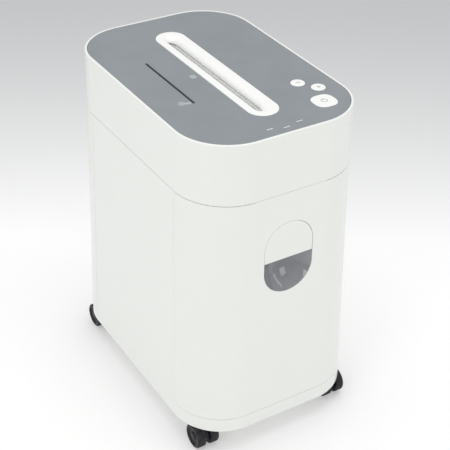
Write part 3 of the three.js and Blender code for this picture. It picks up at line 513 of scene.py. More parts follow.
def settle(piece: bpy.types.Object) -> None:
    """Make the result of a piece's modifiers its own mesh, with loose slivers merged."""
    graph = bpy.context.evaluated_depsgraph_get()
    mesh = bpy.data.meshes.new_from_object(piece.evaluated_get(graph), depsgraph=graph)
    old = piece.data
    piece.modifiers.clear()
    piece.data = mesh
    bpy.data.meshes.remove(old)
    mesh.name = piece.name
    bm = bmesh.new()
    bm.from_mesh(mesh)
    bmesh.ops.remove_doubles(bm, verts=bm.verts[:], dist=0.01 * MM)
    bmesh.ops.dissolve_degenerate(bm, dist=0.005 * MM, edges=bm.edges[:])
    bm.to_mesh(mesh)
    bm.free()


def combine(piece: bpy.types.Object, tool: bpy.types.Object, operation: str = "DIFFERENCE") -> None:
    """Cut a tool from a piece, or join it on, and drop the tool.

    Args:
        piece: Object that is changed.
        tool: Closed object that is used up.
        operation: DIFFERENCE, UNION or INTERSECT.
    """
    modifier = piece.modifiers.new("combine", "BOOLEAN")
    modifier.object = tool
    modifier.operation = operation
    modifier.solver = "EXACT"
    settle(piece)
    used = tool.data
    bpy.data.objects.remove(tool)
    bpy.data.meshes.remove(used)


def thicken(piece: bpy.types.Object, wall: float) -> None:
    """Give an open sheet a wall on its inner side."""
    modifier = piece.modifiers.new("wall", "SOLIDIFY")
    modifier.thickness = wall * MM
    modifier.offset = -1.0
    modifier.use_even_offset = True
    settle(piece)


def shade_flats(piece: bpy.types.Object) -> None:
    """Weight a piece's shading by face area, so that its flats stay flat."""
    weight = piece.modifiers.new("shading", "WEIGHTED_NORMAL")
    weight.keep_sharp = True


def soften(piece: bpy.types.Object, width: float, segments: int = 3, angle: float = 32.0) -> None:
    """Round a piece's edges and shade its flats flat.

    Args:
        piece: Object that gets the rounding.
        width: Width of the rounding in millimetres.
        segments: Steps across it.
        angle: Edges sharper than this many degrees are rounded.
    """
    bevel = piece.modifiers.new("edges", "BEVEL")
    bevel.width = width * MM
    bevel.segments = segments
    bevel.limit_method = "ANGLE"
    bevel.angle_limit = math.radians(angle)
    bevel.miter_outer = "MITER_ARC"
    bevel.use_clamp_overlap = True
    shade_flats(piece)


def dress(piece: bpy.types.Object, finish: Finish, body: str, slot: str, *nodes: str,
          sharp: float = 40.0) -> bpy.types.Object:
    """Give a piece its finish and its body, and hide the nodes of the frame it stands for.

    Args:
        piece: Object to dress.
        finish: Its surface.
        body: Body of the frame that it rides on.
        slot: Material slot; not used.
        nodes: Nodes of the frame that it replaces.
        sharp: Edges sharper than this many degrees keep a crisp shade.

    Returns:
        The same object.
    """
    piece.data.materials.append(finish.material())
    piece.data.shade_smooth()
    piece.data.set_sharp_from_angle(angle=math.radians(sharp))
    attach(piece, body)
    if nodes:
        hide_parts(*nodes)
    log.info("%s: %s, on %s", piece.name, finish.name, body)
    return piece


def dress_node(node: str, finish: Finish) -> None:
    """Give a node of the frame that is kept as it is a finish."""
    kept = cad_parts[node]
    if kept.material_slots:
        kept.material_slots[0].material = finish.material()
    else:
        kept.data.materials.append(finish.material())
    log.info("%s kept: %s", node, finish.name)


# ---------------------------------------------------------------- the covers' common outline


@dataclass(frozen=True)
class Outline:
    """Round-cornered plan of the covers, which widens as it goes down."""

    half_x: float
    half_y: float
    level: float  # height at which the halves hold
    slope: float  # widening per millimetre of height
    corner: float = 71.0

    def ring(self, bm: bmesh.types.BMesh, z: float, inset: float = 0.0) -> list[bmesh.types.BMVert]:
        """Lay the outline at a height, moved inwards by an inset."""
        grow = self.slope * (self.level - z) - inset
        return ring(bm, self.half_x + grow, self.half_y + grow, self.corner - inset, z)

    def front(self, z: float) -> float:
        """Y of the flat front at a height."""
        return -(self.half_y + self.slope * (self.level - z))

    def seam(self, z: float) -> float:
        """Distance of the upright seams from the middle, where the corner arcs start."""
        return self.half_y - self.corner + self.slope * (self.level - z)

    def split(self, bm: bmesh.types.BMesh, side: int, gap: float, drop: bool) -> None:
        """Cut a sheet along an upright seam.

        Args:
            bm: Mesh to cut.
            side: -1 for the front seam, 1 for the rear one.
            gap: How far beyond the seam the cut lies, away from the middle.
            drop: Whether what lies between the cut and the middle is removed.
        """
        point = Vector((0, side * (self.seam(self.level) + gap), self.level))
        normal = Vector((0, side, self.slope))
        geometry = bm.verts[:] + bm.edges[:] + bm.faces[:]
        bmesh.ops.bisect_plane(bm, geom=geometry, plane_co=point, plane_no=normal, clear_inner=drop)


def cabinet_outline() -> Outline:
    """Outline of the cabinet, from the boxes of its shell and of the head."""
    head, cabinet = Box.of("head_shell"), Box.of("cabinet_shell")
    slope = (cabinet.high.x - head.high.x) / (head.low.z - cabinet.low.z)
    return Outline(head.high.x, head.high.y, head.low.z, slope)


def head_outline() -> Outline:
    """Outline of the head, from the box of its shell."""
    head, flare = Box.of("head_shell"), 0.004
    rise = flare * (head.high.z - head.low.z)
    return Outline(head.high.x - rise, head.high.y - rise, head.high.z, flare)


# ---------------------------------------------------------------- cabinet


@dataclass
class Cabinet:
    """Side walls with the base band, the deck with its sockets, and the rear cover."""

    wall: float = 2.6
    seam: float = 0.6  # width of the joint lines
    band: float = 20.5  # height of the base band
    deck: float = 3.0
    edge: float = 0.4  # rounding of the covers' edges
    socket_wall: float = 5.2
    stem: float = 5.35  # radius of the caster sockets
    rail_half: float = 6.0
    rail_x: float = 70.0
    rib: float = 1.8
    rib_half: float = 150.0  # half the length of the ribs along the deck
    rib_places: tuple[float, ...] = (-60.0, -20.0, 20.0, 60.0)
    cross_half: float = 112.0
    cross_places: tuple[float, ...] = (-100.0, -33.0, 33.0, 100.0)
    outline: Outline = field(default_factory=cabinet_outline)
    box: Box = field(default_factory=lambda: Box.of("cabinet_shell"))

    def __post_init__(self) -> None:
        """Work out the heights of the band and of the top edge."""
        self.bottom = self.box.low.z
        self.band_top = self.bottom + self.band - self.seam / 2
        self.top = self.box.high.z

    def sheet(self, low: float, high: float) -> bmesh.types.BMesh:
        """Skin of the cabinet between two heights, open at both ends."""
        bm = bmesh.new()
        loft(bm, [self.outline.ring(bm, low), self.outline.ring(bm, high)], caps=False)
        return bm

    def body(self) -> bpy.types.Object:
        """Base band and both side walls, moulded in one."""
        bm = self.sheet(self.bottom, self.band_top)
        upper = self.outline.ring(bm, self.top)
        rim = [v for v in bm.verts if abs(v.co.z - self.band_top) < 1e-3]
        loft(bm, [rim, upper], caps=False)
        self.outline.split(bm, -1, -self.seam / 2, drop=False)
        self.outline.split(bm, 1, -self.seam / 2, drop=False)
        ends = [
            f for f in bm.faces
            if f.calc_center_median().z > self.band_top + 1
            and abs(f.calc_center_median().y) > self.outline.seam(f.calc_center_median().z) - self.seam / 2
        ]
        bmesh.ops.delete(bm, geom=ends, context="FACES")
        face_outwards(bm)
        piece = shape("cabinet_body", bm, closed=False)
        thicken(piece, self.wall)
        soften(piece, self.edge)
        return dress(piece, WHITE_ABS, "cabinet", "white_shell", "cabinet_shell")

    def rear(self) -> bpy.types.Object:
        """Rear cover with both rear corners."""
        bm = self.sheet(self.band_top + self.seam, self.top)
        self.outline.split(bm, 1, self.seam / 2, drop=True)
        face_outwards(bm)
        piece = shape("rear_cover", bm, closed=False)
        thicken(piece, self.wall)
        soften(piece, self.edge)
        return dress(piece, WHITE_ABS, "cabinet", "white_shell", "rear_panel")

    def floor_plate(self) -> bpy.types.Object:
        """Deck inside the band, with stiffening ribs, caster sockets and the bin's rails."""
        top = self.band_top
        bm = bmesh.new()
        inset = self.wall + 0.05
        loft(bm, [self.outline.ring(bm, top - self.deck, inset), self.outline.ring(bm, top, inset)])
        piece = shape("base_deck", bm)
        extra = bmesh.new()
        bottom = self.bottom + 8
        for x in self.rib_places:
            brick(extra, (x - self.rib / 2, -self.rib_half, bottom),
                  (x + self.rib / 2, self.rib_half, top - 1))
        combine(piece, shape("ribs", extra), "UNION")
        cross = bmesh.new()
        for y in self.cross_places:
            brick(cross, (-self.cross_half, y - self.rib / 2, bottom + 2),
                  (self.cross_half, y + self.rib / 2, top - 1.2))
        combine(piece, shape("cross_ribs", cross), "UNION")
        rails = bmesh.new()
        for side in (-1, 1):
            x = side * self.rail_x
            brick(rails, (x - self.rail_half, -150, top - 1.5), (x + self.rail_half, 140, top + 1.1))
        combine(piece, shape("rails", rails), "UNION")
        posts, bores = bmesh.new(), bmesh.new()
        for tag in Caster.tags():
            stem = Box.of(f"caster_stem_{tag}").middle
            outer = self.stem + self.socket_wall
            profile = [(0, bottom), (outer, bottom), (outer + 1, top - 1), (0, top - 1)]
            turned(posts, profile, Axis.Z, (stem.x, stem.y, 0))
            rod(bores, self.stem, self.bottom - 1, top - self.deck, Axis.Z, (stem.x, stem.y, 0))
        combine(piece, shape("posts", posts), "UNION")
        combine(piece, shape("bores", bores))
        soften(piece, 0.25, segments=2)
        return dress(piece, WHITE_ABS, "cabinet", "white_shell", "cabinet_shell")

    def build(self) -> None:
        """Build every piece of the cabinet."""
        self.body()
        self.rear()
        self.floor_plate()


# ---------------------------------------------------------------- bin


@dataclass
class Bin:
    """Pull-out bin: front cover with the scoop, grip plate, smoked bowl and the bucket."""

    wall: float = 2.6
    seam: float = 0.6
    edge: float = 0.4
    lap: float = 0.45  # raised edge that closes the joint to the head across the flat front
    lap_half: float = 50.0
    scoop_half: float = 35.5
    scoop_half_height: float = 51.0
    scoop_middle: float = 254.0  # above the base
    split: float = 253.0  # lower edge of the grip plate, above the base
    line: float = 0.5  # gap round the grip plate
    plate: float = 3.0
    bowl_depth: float = 23.5
    bowl_wall: float = 1.8
    bowl_rings: int = 18
    bowl_start: float = 30.0  # slope of the bowl at its edge, in degrees
    tub_corner: float = 55.0
    tub_wall: float = 2.2
    tub_rib_x: float = 48.0
    outline: Outline = field(default_factory=cabinet_outline)

    def __post_init__(self) -> None:
        """Work out the heights."""
        base = Box.of("cabinet_shell").low.z
        self.bottom, self.top = Box.of("bin_front_panel").low.z, Box.of("bin_front_panel").high.z
        self.middle = base + self.scoop_middle
        self.grip_bottom = base + self.split

    def onto_front(self, bm: bmesh.types.BMesh) -> None:
        """Turn a shape drawn flat in X and Y so that it stands on the sloping front.

        The flat shape's Y becomes height and its Z becomes depth behind the front.
        """
        for vert in bm.verts:
            x, height, depth = vert.co.x, vert.co.y + self.middle, vert.co.z
            vert.co = Vector((x, self.outline.front(height) + depth, height))

    def scoop_ring(self, bm: bmesh.types.BMesh, margin: float, depth: float) -> list[bmesh.types.BMVert]:
        """Lay the scoop's outline, grown by a margin, at a depth behind the front."""
        half = self.scoop_half + margin
        return ring(bm, half, self.scoop_half_height + margin, half - 0.01, depth)

    def front(self) -> bpy.types.Object:
        """Front cover with both front corners and the scoop's opening."""
        bm = bmesh.new()
        loft(bm, [self.outline.ring(bm, self.bottom), self.outline.ring(bm, self.top)], caps=False)
        self.outline.split(bm, -1, self.seam / 2, drop=True)
        face_outwards(bm)
        piece = shape("bin_front", bm, closed=False)
        thicken(piece, self.wall)
        opening = bmesh.new()
        loft(opening, [self.scoop_ring(opening, 0, -5), self.scoop_ring(opening, 0, 12)])
        self.onto_front(opening)
        combine(piece, shape("opening", opening))
        face = self.outline.front(self.top)
        lap = bmesh.new()
        brick(lap, (-self.lap_half, face + 0.02, self.top - 1.5),
              (self.lap_half, face + 2.4, self.top + self.lap))
        combine(piece, shape("lap", lap), "UNION")
        soften(piece, self.edge)
        return dress(piece, WHITE_ABS, "bin", "white_shell", "bin_front_panel")

    def grip(self) -> bpy.types.Object:
        """Flush plate over the upper part of the opening, with a rolled lower lip."""
        bm = bmesh.new()
        loft(bm, [self.scoop_ring(bm, -self.line, 0), self.scoop_ring(bm, -self.line, self.plate)])
        keep_above(bm, self.grip_bottom - self.middle)
        self.onto_front(bm)
        piece = shape("grip_plate", bm)
        soften(piece, 0.55, segments=4)
        return dress(piece, WHITE_ABS, "bin", "white_shell", "grip_cover")

    def bowl(self) -> bpy.types.Object:
        """Smoked bowl behind the opening: outlines that shrink with depth, then the back of the same."""
        bm = bmesh.new()
        centre = self.grip_bottom - self.middle - 2
        steep = math.radians(self.bowl_start)
        edge, behind = -AIR - 0.1, self.wall + 0.3
        curve = []
        for run, rise in arc(1.0, self.bowl_rings, start=self.bowl_start, end=86):
            depth = (rise - math.sin(steep)) / (1 - math.sin(steep))
            curve.append((run / math.cos(steep), 0.25 + self.bowl_depth * depth))

        def shrunk(share: float, grow: float, depth: float) -> list[bmesh.types.BMVert]:
            """Lay the outline drawn in towards the middle of the bowl."""
            verts = self.scoop_ring(bm, edge, depth)
            for vert in verts:
                vert.co.x *= share + grow / self.scoop_half
                vert.co.y = centre + (vert.co.y - centre) * (share + grow / self.scoop_half)
            return verts

        rings = [shrunk(share, 0, depth) for share, depth in reversed(curve)]
        rings += [self.scoop_ring(bm, edge, behind - 0.05), self.scoop_ring(bm, 3.5, behind)]
        rings += [self.scoop_ring(bm, 3.5, behind + self.bowl_wall)]
        rings += [
            shrunk(share, self.bowl_wall * share * 0.8, depth + self.bowl_wall)
            for share, depth in curve if depth > behind + 0.5
        ]
        loft(bm, rings)
        self.onto_front(bm)
        piece = shape("finger_bowl", bm)
        room = bmesh.new()
        loft(room, [self.scoop_ring(room, 0.2, -4), self.scoop_ring(room, 0.2, self.plate + AIR)])
        keep_above(room, self.grip_bottom - AIR - self.middle)
        self.onto_front(room)
        combine(piece, shape("room", room))
        soften(piece, 0.2, segments=2)
        return dress(piece, SMOKED_PC, "bin", "smoked_window", "view_window", sharp=50)

    def bucket(self) -> bpy.types.Object:
        """Bucket with a rolled rim, a rounded floor edge, ribs to the front and the interlock tab."""
        tub = Box.of("bin_tub")
        switch = Box.of("interlock_switch")
        tab_width = 16.0
        rim_top = tub.high.z - 4
        rear = tub.high.y - 4
        front = Box.of("view_window").high.y - 13.2
        half_x, half_y, mid = tub.high.x, (rear - front) / 2, (rear + front) / 2
        corner, wall = self.tub_corner, self.tub_wall
        levels = [(6.0, tub.low.z)]
        levels += [(6.0 - run, tub.low.z + 6.0 - rise) for run, rise in arc(6.0, 4, start=90, end=0)]
        levels += [(1.4, tub.low.z + 6.5), (1.4, rim_top - 7), (0.0, rim_top - 6), (0.0, rim_top - 1)]
        levels += [(1.0, rim_top), (wall + 1.4, rim_top), (wall + 2.4, rim_top - 1.5)]
        levels += [(wall + 1.4, rim_top - 5), (wall + 1.4, tub.low.z + 6.5)]
        levels += [(wall + 6.0, tub.low.z + wall)]
        bm = bmesh.new()
        rings = [ring(bm, half_x - inset, half_y - inset, corner - inset, z) for inset, z in levels]
        loft(bm, rings)
        bmesh.ops.translate(bm, vec=(0, mid, 0), verts=bm.verts[:])
        piece = shape("bin_bucket", bm)
        ribs = bmesh.new()
        for x in (-self.tub_rib_x, self.tub_rib_x):
            lean = self.outline.front(tub.low.z + 20) - self.outline.front(rim_top - 20)
            verts = brick(ribs, (x - 1.5, self.outline.front(rim_top - 20) + 3, tub.low.z + 20),
                          (x + 1.5, front + 2.6, rim_top - 20))
            low_front = [v for v in verts if v.co.z < self.middle and v.co.y < front]
            bmesh.ops.translate(ribs, vec=(0, lean, 0), verts=low_front)
        combine(piece, shape("ribs", ribs), "UNION")
        hole = bmesh.new()
        loft(hole, [self.scoop_ring(hole, 6, -5), self.scoop_ring(hole, 6, self.bowl_depth + 6)])
        self.onto_front(hole)
        combine(piece, shape("hole", hole))
        tab = bmesh.new()
        x = (switch.low.x + switch.high.x) / 2
        brick(tab, (x - tab_width / 2, rear - 3, rim_top - 30), (x + tab_width / 2, tub.high.y, tub.high.z))
        combine(piece, shape("tab", tab), "UNION")
        soften(piece, 0.3, segments=2)
        return dress(piece, BLACK_ABS, "bin", "black_plastic", "bin_tub")

    def build(self) -> None:
        """Build every piece of the bin."""
        self.front()
        self.grip()
        self.bowl()
        self.bucket()


# ---------------------------------------------------------------- head


def board_top() -> float:
    """Height of the circuit board's face; its parts take up the rest of the node's box."""
    return Box.of("control_board").high.z - BOARD_PARTS


@dataclass
class Head:
    """White ring of the head, the grey panel and everything set into it."""

    wall: float = 2.6
    rim: float = 3.1
    rounding: float = 1.3  # outer rounding of the rim
    ledge: float = 5.0
    panel: float = 3.0
    bezel_half: float = 20.8
    bezel_half_length: float = 131.9
    bezel_round: float = 1.1
    mouth_right: float = 12.3  # where the land starts to fall
    mouth_left: float = 11.2
    slit_half: float = 3.4
    slit_half_length: float = 112.5
    mouth_reach: float = 13.0  # mouth beyond the slit at each end
    fall: float = 7.0  # depth of the funnel
    wide: float = 17.0  # depth where the mouth narrows to the slit
    rib_pitch: float = 4.0
    disc_half: float = 1.7
    disc_half_length: float = 62.0
    light_half: float = 4.5
    light_half_width: float = 0.9
    gland_barrel: float = 8.0
    board_posts: tuple[tuple[float, float], ...] = ((53.0, -70.0), (53.0, -146.0), (99.0, -72.0))
    outline: Outline = field(default_factory=head_outline)

    def __post_init__(self) -> None:
        """Work out the heights and places."""
        self.bottom = Box.of("head_shell").low.z
        self.top = Box.of("head_shell").high.z
        self.panel_top = Box.of("top_panel").high.z
        self.panel_bottom = self.panel_top - self.panel
        self.disc_x = Box.of("disc_slot_liner").middle.x
        self.gland = Box.of("cord_gland")
        guide = Box.of("indicator_light_guide")
        spread = (guide.high.x - guide.low.x) / 2 - self.light_half - 1
        self.light_places = [
            (guide.middle.x - spread, guide.high.y - 2), (guide.middle.x - 0.15, guide.low.y + 2),
            (guide.middle.x + spread, guide.high.y - 2),
        ]

    def shell(self) -> bpy.types.Object:
        """White ring with the rounded rim and the inner ledge that carries the panel."""
        ledge_top = self.panel_bottom - AIR
        levels = [(0.0, self.bottom), (0.0, self.bottom + 20)]
        round_low = self.top - self.rounding
        levels += [(self.rounding - run, round_low + rise) for run, rise in arc(self.rounding, 6)]
        levels += [(self.rim - 0.3, self.top), (self.rim - 0.08, self.top - 0.1), (self.rim, self.top - 0.35)]
        shelf = self.rim + self.ledge
        levels += [(self.rim, ledge_top), (shelf, ledge_top), (shelf, ledge_top - 3)]
        levels += [(self.wall, ledge_top - 3), (self.wall, self.bottom)]
        bm = bmesh.new()
        loft_round(bm, [self.outline.ring(bm, z, inset) for inset, z in levels])
        piece = shape("head_cover", bm)
        hole = bmesh.new()
        rod(hole, self.gland_barrel + AIR, -20, 20, Axis.Y, tuple(self.gland.middle))
        combine(piece, shape("hole", hole))
        soften(piece, 0.3)
        return dress(piece, WHITE_ABS, "cabinet", "white_shell", "head_shell", sharp=50)

    def plate(self) -> bpy.types.Object:
        """Grey panel with its openings and the posts for the board."""
        bm = bmesh.new()
        inset = self.rim + AIR
        levels = [(inset, self.panel_bottom), (inset, self.panel_top - 0.5)]
        levels += [(inset + 0.15, self.panel_top - 0.14), (inset + 0.5, self.panel_top)]
        loft(bm, [self.outline.ring(bm, z, back) for back, z in levels])
        piece = shape("control_panel", bm)
        low, high = self.panel_bottom - 1, self.panel_top + 1
        tools = bmesh.new()
        half, length = self.bezel_half + AIR, self.bezel_half_length + AIR
        loft(tools, [ring(tools, half, length, half - 0.01, z) for z in (low, high)])
        slot = [ring(tools, self.disc_half, self.disc_half_length, 0.8, z, steps=16) for z in (low, high)]
        shift(tools, slot, (self.disc_x, 0, 0))
        loft(tools, slot)
        for key in Keypad().keys():
            loft(tools, [key.outline(tools, z, AIR) for z in (low, high)])
        for x, y in self.light_places:
            half, width = self.light_half + 0.1, self.light_half_width
            rings = [ring(tools, half, width + 0.1, width, z, steps=24) for z in (low, high)]
            shift(tools, rings, (x, y, 0))
            loft(tools, rings)
        combine(piece, shape("openings", tools))
        posts = bmesh.new()
        low, high = board_top() + AIR, self.panel_bottom + 1
        for x, y in self.board_posts:
            turned(posts, [(0, low), (2.2, low), (2.6, high), (0, high)], Axis.Z, (x, y, 0), steps=24)
        combine(piece, shape("posts", posts), "UNION")
        soften(piece, 0.22, segments=2)
        return dress(piece, GREY_ABS, "cabinet", "grey_panel", "top_panel")

    def mouth_ring(self, bm: bmesh.types.BMesh, right: float, z: float,
                   left: float | None = None) -> list[bmesh.types.BMVert]:
        """Lay an outline of the paper mouth, whose ends run to a point as it narrows."""
        left = right if left is None else left
        half = (right + left) / 2
        share = (right - self.slit_half) / (self.mouth_right - self.slit_half)
        length = self.slit_half_length + max(share, 0.0) * self.mouth_reach
        verts = ring(bm, half, length, half - 0.01, z, reach=2.0 - 0.7 * share)
        bmesh.ops.translate(bm, vec=((right - left) / 2, 0, 0), verts=verts)
        return verts

    def bezel(self) -> bpy.types.Object:
        """Paper throat: flat land, a mouth that curves down, a shadow groove and the upright chute."""
        top = Box.of("feed_bezel").high.z
        bottom = Box.of("feed_bezel").low.z
        flange_top, flange_low = self.panel_bottom - AIR, Box.of("feed_bezel").high.z - self.fall - 2.8
        bm = bmesh.new()

        def stadium(half: float, z: float) -> list[bmesh.types.BMVert]:
            """Lay a round-ended outline of the land or the flange."""
            length = half + self.bezel_half_length - self.bezel_half
            return ring(bm, half, length, half - 0.01, z)

        rings = [stadium(self.bezel_half + 3, flange_low), stadium(self.bezel_half + 3, flange_top)]
        rings += [stadium(self.bezel_half, flange_top)]
        base = self.bezel_half - self.bezel_round
        rings += [
            stadium(base + run, top - self.bezel_round + rise) for run, rise in arc(self.bezel_round, 4)
        ]
        rings += [stadium(self.mouth_right + 4, top)]
        width = self.mouth_right - self.slit_half
        lip, slit = self.mouth_left, self.slit_half
        for i in range(11):
            angle = math.radians(9 * i)
            right = slit + width * (1 - math.sin(angle))
            rings.append(self.mouth_ring(bm, right, top - self.fall * (1 - math.cos(angle)), lip))
        low, deep = top - self.fall, top - self.wide
        outlines = [
            (slit + 2.6, low - 0.3, lip), (slit + 2.6, low - 1.9, lip), (slit - 0.1, low - 2.1, lip),
            (slit - 0.3, low - 2.5, lip), (slit - 0.3, deep, lip), (slit - 0.3, deep - 2.5, slit - 0.3),
            (slit - 0.3, bottom, slit - 0.3), (slit + 1.5, bottom, slit + 1.5),
            (slit + 1.5, deep - 4, slit + 1.5), (slit + 1.7, deep - 0.5, lip + 1.8),
            (slit + 4.4, flange_low, lip + 1.8),
        ]
        rings += [self.mouth_ring(bm, right, z, left) for right, z, left in outlines]
        loft_round(bm, rings)
        piece = shape("feed_throat", bm)
        shade_flats(piece)
        return dress(piece, KEY_ABS, "cabinet", "white_shell", "feed_bezel", sharp=35)

    def chute_ribs(self) -> bpy.types.Object:
        """Fine upright ribs on the chute's right wall, which keep a sheet from clinging."""
        high = Box.of("feed_bezel").high.z - self.fall - 3.6
        wall = self.slit_half - 0.3
        count = int(2 * (self.slit_half_length - 8) / self.rib_pitch)
        bm = bmesh.new()
        for i in range(count + 1):
            y = (i - count / 2) * self.rib_pitch
            brick(bm, (wall - 0.55, y - 0.7, high - 13), (wall + 0.3, y + 0.7, high))
        piece = shape("chute_ribs", bm)
        soften(piece, 0.2, segments=2)
        return dress(piece, KEY_ABS, "cabinet", "white_shell")

    def sleeve(self) -> bpy.types.Object:
        """Black chute under the disc slot."""
        liner = Box.of("disc_slot_liner")
        bm = bmesh.new()
        rings = []
        for margin, z in ((2.0, liner.low.z), (2.0, liner.high.z), (0.6, liner.high.z),
                          (0.0, liner.high.z - 1.2), (0.0, liner.low.z)):
            half, length = self.disc_half + margin, self.disc_half_length + margin
            rings.append(ring(bm, half, length, 0.8 + margin / 2, z, steps=24))
        shift(bm, rings, (self.disc_x, 0, 0))
        loft_round(bm, rings)
        piece = shape("disc_slot_sleeve", bm)
        soften(piece, 0.2, segments=2)
        return dress(piece, BLACK_ABS, "cabinet", "black_plastic", "disc_slot_liner")

    def light_windows(self) -> bpy.types.Object:
        """Opal strip whose three round-ended posts end just below the panel's face."""
        guide = Box.of("indicator_light_guide")
        strip_top = self.panel_bottom - AIR
        bm = bmesh.new()
        strip = [
            ring(bm, (guide.high.x - guide.low.x) / 2, (guide.high.y - guide.low.y) / 2, 1.5, z, steps=24)
            for z in (strip_top - 2, strip_top)
        ]
        shift(bm, strip, (guide.middle.x, guide.middle.y, 0))
        loft(bm, strip)
        piece = shape("light_windows", bm)
        posts = bmesh.new()
        for x, y in self.light_places:
            half, width = self.light_half, self.light_half_width
            levels = ((0.12, strip_top - 1), (0.12, self.panel_top - 0.2), (0.3, self.panel_top - 0.05))
            rings = [ring(posts, half - back, width - back, width - back, z, steps=24) for back, z in levels]
            shift(posts, rings, (x, y, 0))
            loft(posts, rings)
        combine(piece, shape("posts", posts), "UNION")
        return dress(piece, OPAL_ACRYLIC, "cabinet", "clear_guide", "indicator_light_guide")

    def gland_ring(self) -> bpy.types.Object:
        """Rubber-like bushing for the lead, turned with a groove that grips the wall."""
        box = self.gland
        face = self.outline.half_y + self.outline.slope * (self.top - box.middle.z)
        y0, y1 = box.low.y, box.high.y
        inner = face - self.wall - AIR
        barrel = self.gland_barrel
        profile = [(3.6, y0), (barrel, y0), (barrel, y0 + 1.0), (11.0, y0 + 1.0), (11.0, inner - 0.6)]
        profile += [(10.4, inner), (7.9, inner), (7.9, y1 - 0.3), (7.5, y1), (4.6, y1), (3.6, y1 - 1.2)]
        profile += [(3.6, y0)]
        bm = bmesh.new()
        turned(bm, profile, Axis.Y, (box.middle.x, 0, box.middle.z))
        piece = shape("cord_bushing", bm)
        return dress(piece, BLACK_NYLON, "cabinet", "black_plastic", "cord_gland")

    def chassis(self) -> bpy.types.Object:
        """Black floor of the head with the two falls and stiffening walls round them."""
        box = Box.of("head_chassis")
        inset = self.wall + AIR
        bm = bmesh.new()
        loft(bm, [self.outline.ring(bm, box.low.z, inset), self.outline.ring(bm, box.high.z, inset)])
        piece = shape("head_floor", bm)
        falls = bmesh.new()
        main = [ring(falls, 46, 113, 4, z, steps=32) for z in (box.low.z - 1, box.high.z + 1)]
        loft(falls, main)
        discs = [ring(falls, 8, 66, 3, z, steps=32) for z in (box.low.z - 1, box.high.z + 1)]
        shift(falls, discs, (self.disc_x, 0, 0))
        loft(falls, discs)
        combine(piece, shape("falls", falls))
        soften(piece, 0.4, segments=2)
        return dress(piece, BLACK_ABS, "cabinet", "black_plastic", "head_chassis")

    def build(self) -> None:
        """Build every piece of the head."""
        self.shell()
        self.plate()
        self.bezel()
        self.chute_ribs()
        self.sleeve()
        self.light_windows()
        self.gland_ring()
        self.chassis()


# ---------------------------------------------------------------- keys and board


@dataclass
class Key:
    """One push key of the frame, round or squared-off."""

    node: str
    square: bool
    rounding: float = 0.9
    crown: float = 0.12  # rise of the middle above the rounded edge
    flange: float = 1.6

    def __post_init__(self) -> None:
        """Read the key's place and size from the frame."""
        box = Box.of(self.node)
        self.x, self.y = box.middle.x, box.middle.y
        self.half = (box.high.x - box.low.x) / 2 - self.flange
        self.low, self.top = box.low.z, box.high.z

    def outline(self, bm: bmesh.types.BMesh, z: float, margin: float) -> list[bmesh.types.BMVert]:
        """Lay the key's outline at a height, grown by a margin."""
        half = self.half + margin
        verts = ring(bm, half, half, half, z, steps=64, power=2.7 if self.square else 2.0)
        bmesh.ops.translate(bm, vec=(self.x, self.y, 0), verts=verts)
        return verts

    def build(self) -> bpy.types.Object:
        """Cap with a rounded edge and a faint crown, hidden flange and stem."""
        panel_bottom = Box.of("top_panel").high.z - 3
        levels = [(2.0 - self.half, self.low), (2.0 - self.half, panel_bottom - 8), (0.0, panel_bottom - 8)]
        levels += [(0.0, panel_bottom - 2 - AIR), (self.flange, panel_bottom - 2 - AIR)]
        levels += [(self.flange, panel_bottom - AIR), (0.0, panel_bottom - AIR)]
        round_low = self.top - self.crown - self.rounding
        levels += [(run - self.rounding, round_low + rise) for run, rise in arc(self.rounding, 4)]
        levels += [(-self.half * 0.45, self.top - 0.03), (-self.half * 0.85, self.top)]
        bm = bmesh.new()
        loft(bm, [self.outline(bm, z, margin) for margin, z in levels])
        piece = shape(self.node + "_cap", bm)
        shade_flats(piece)
        return dress(piece, KEY_ABS, self.node, "white_shell", self.node, sharp=35)


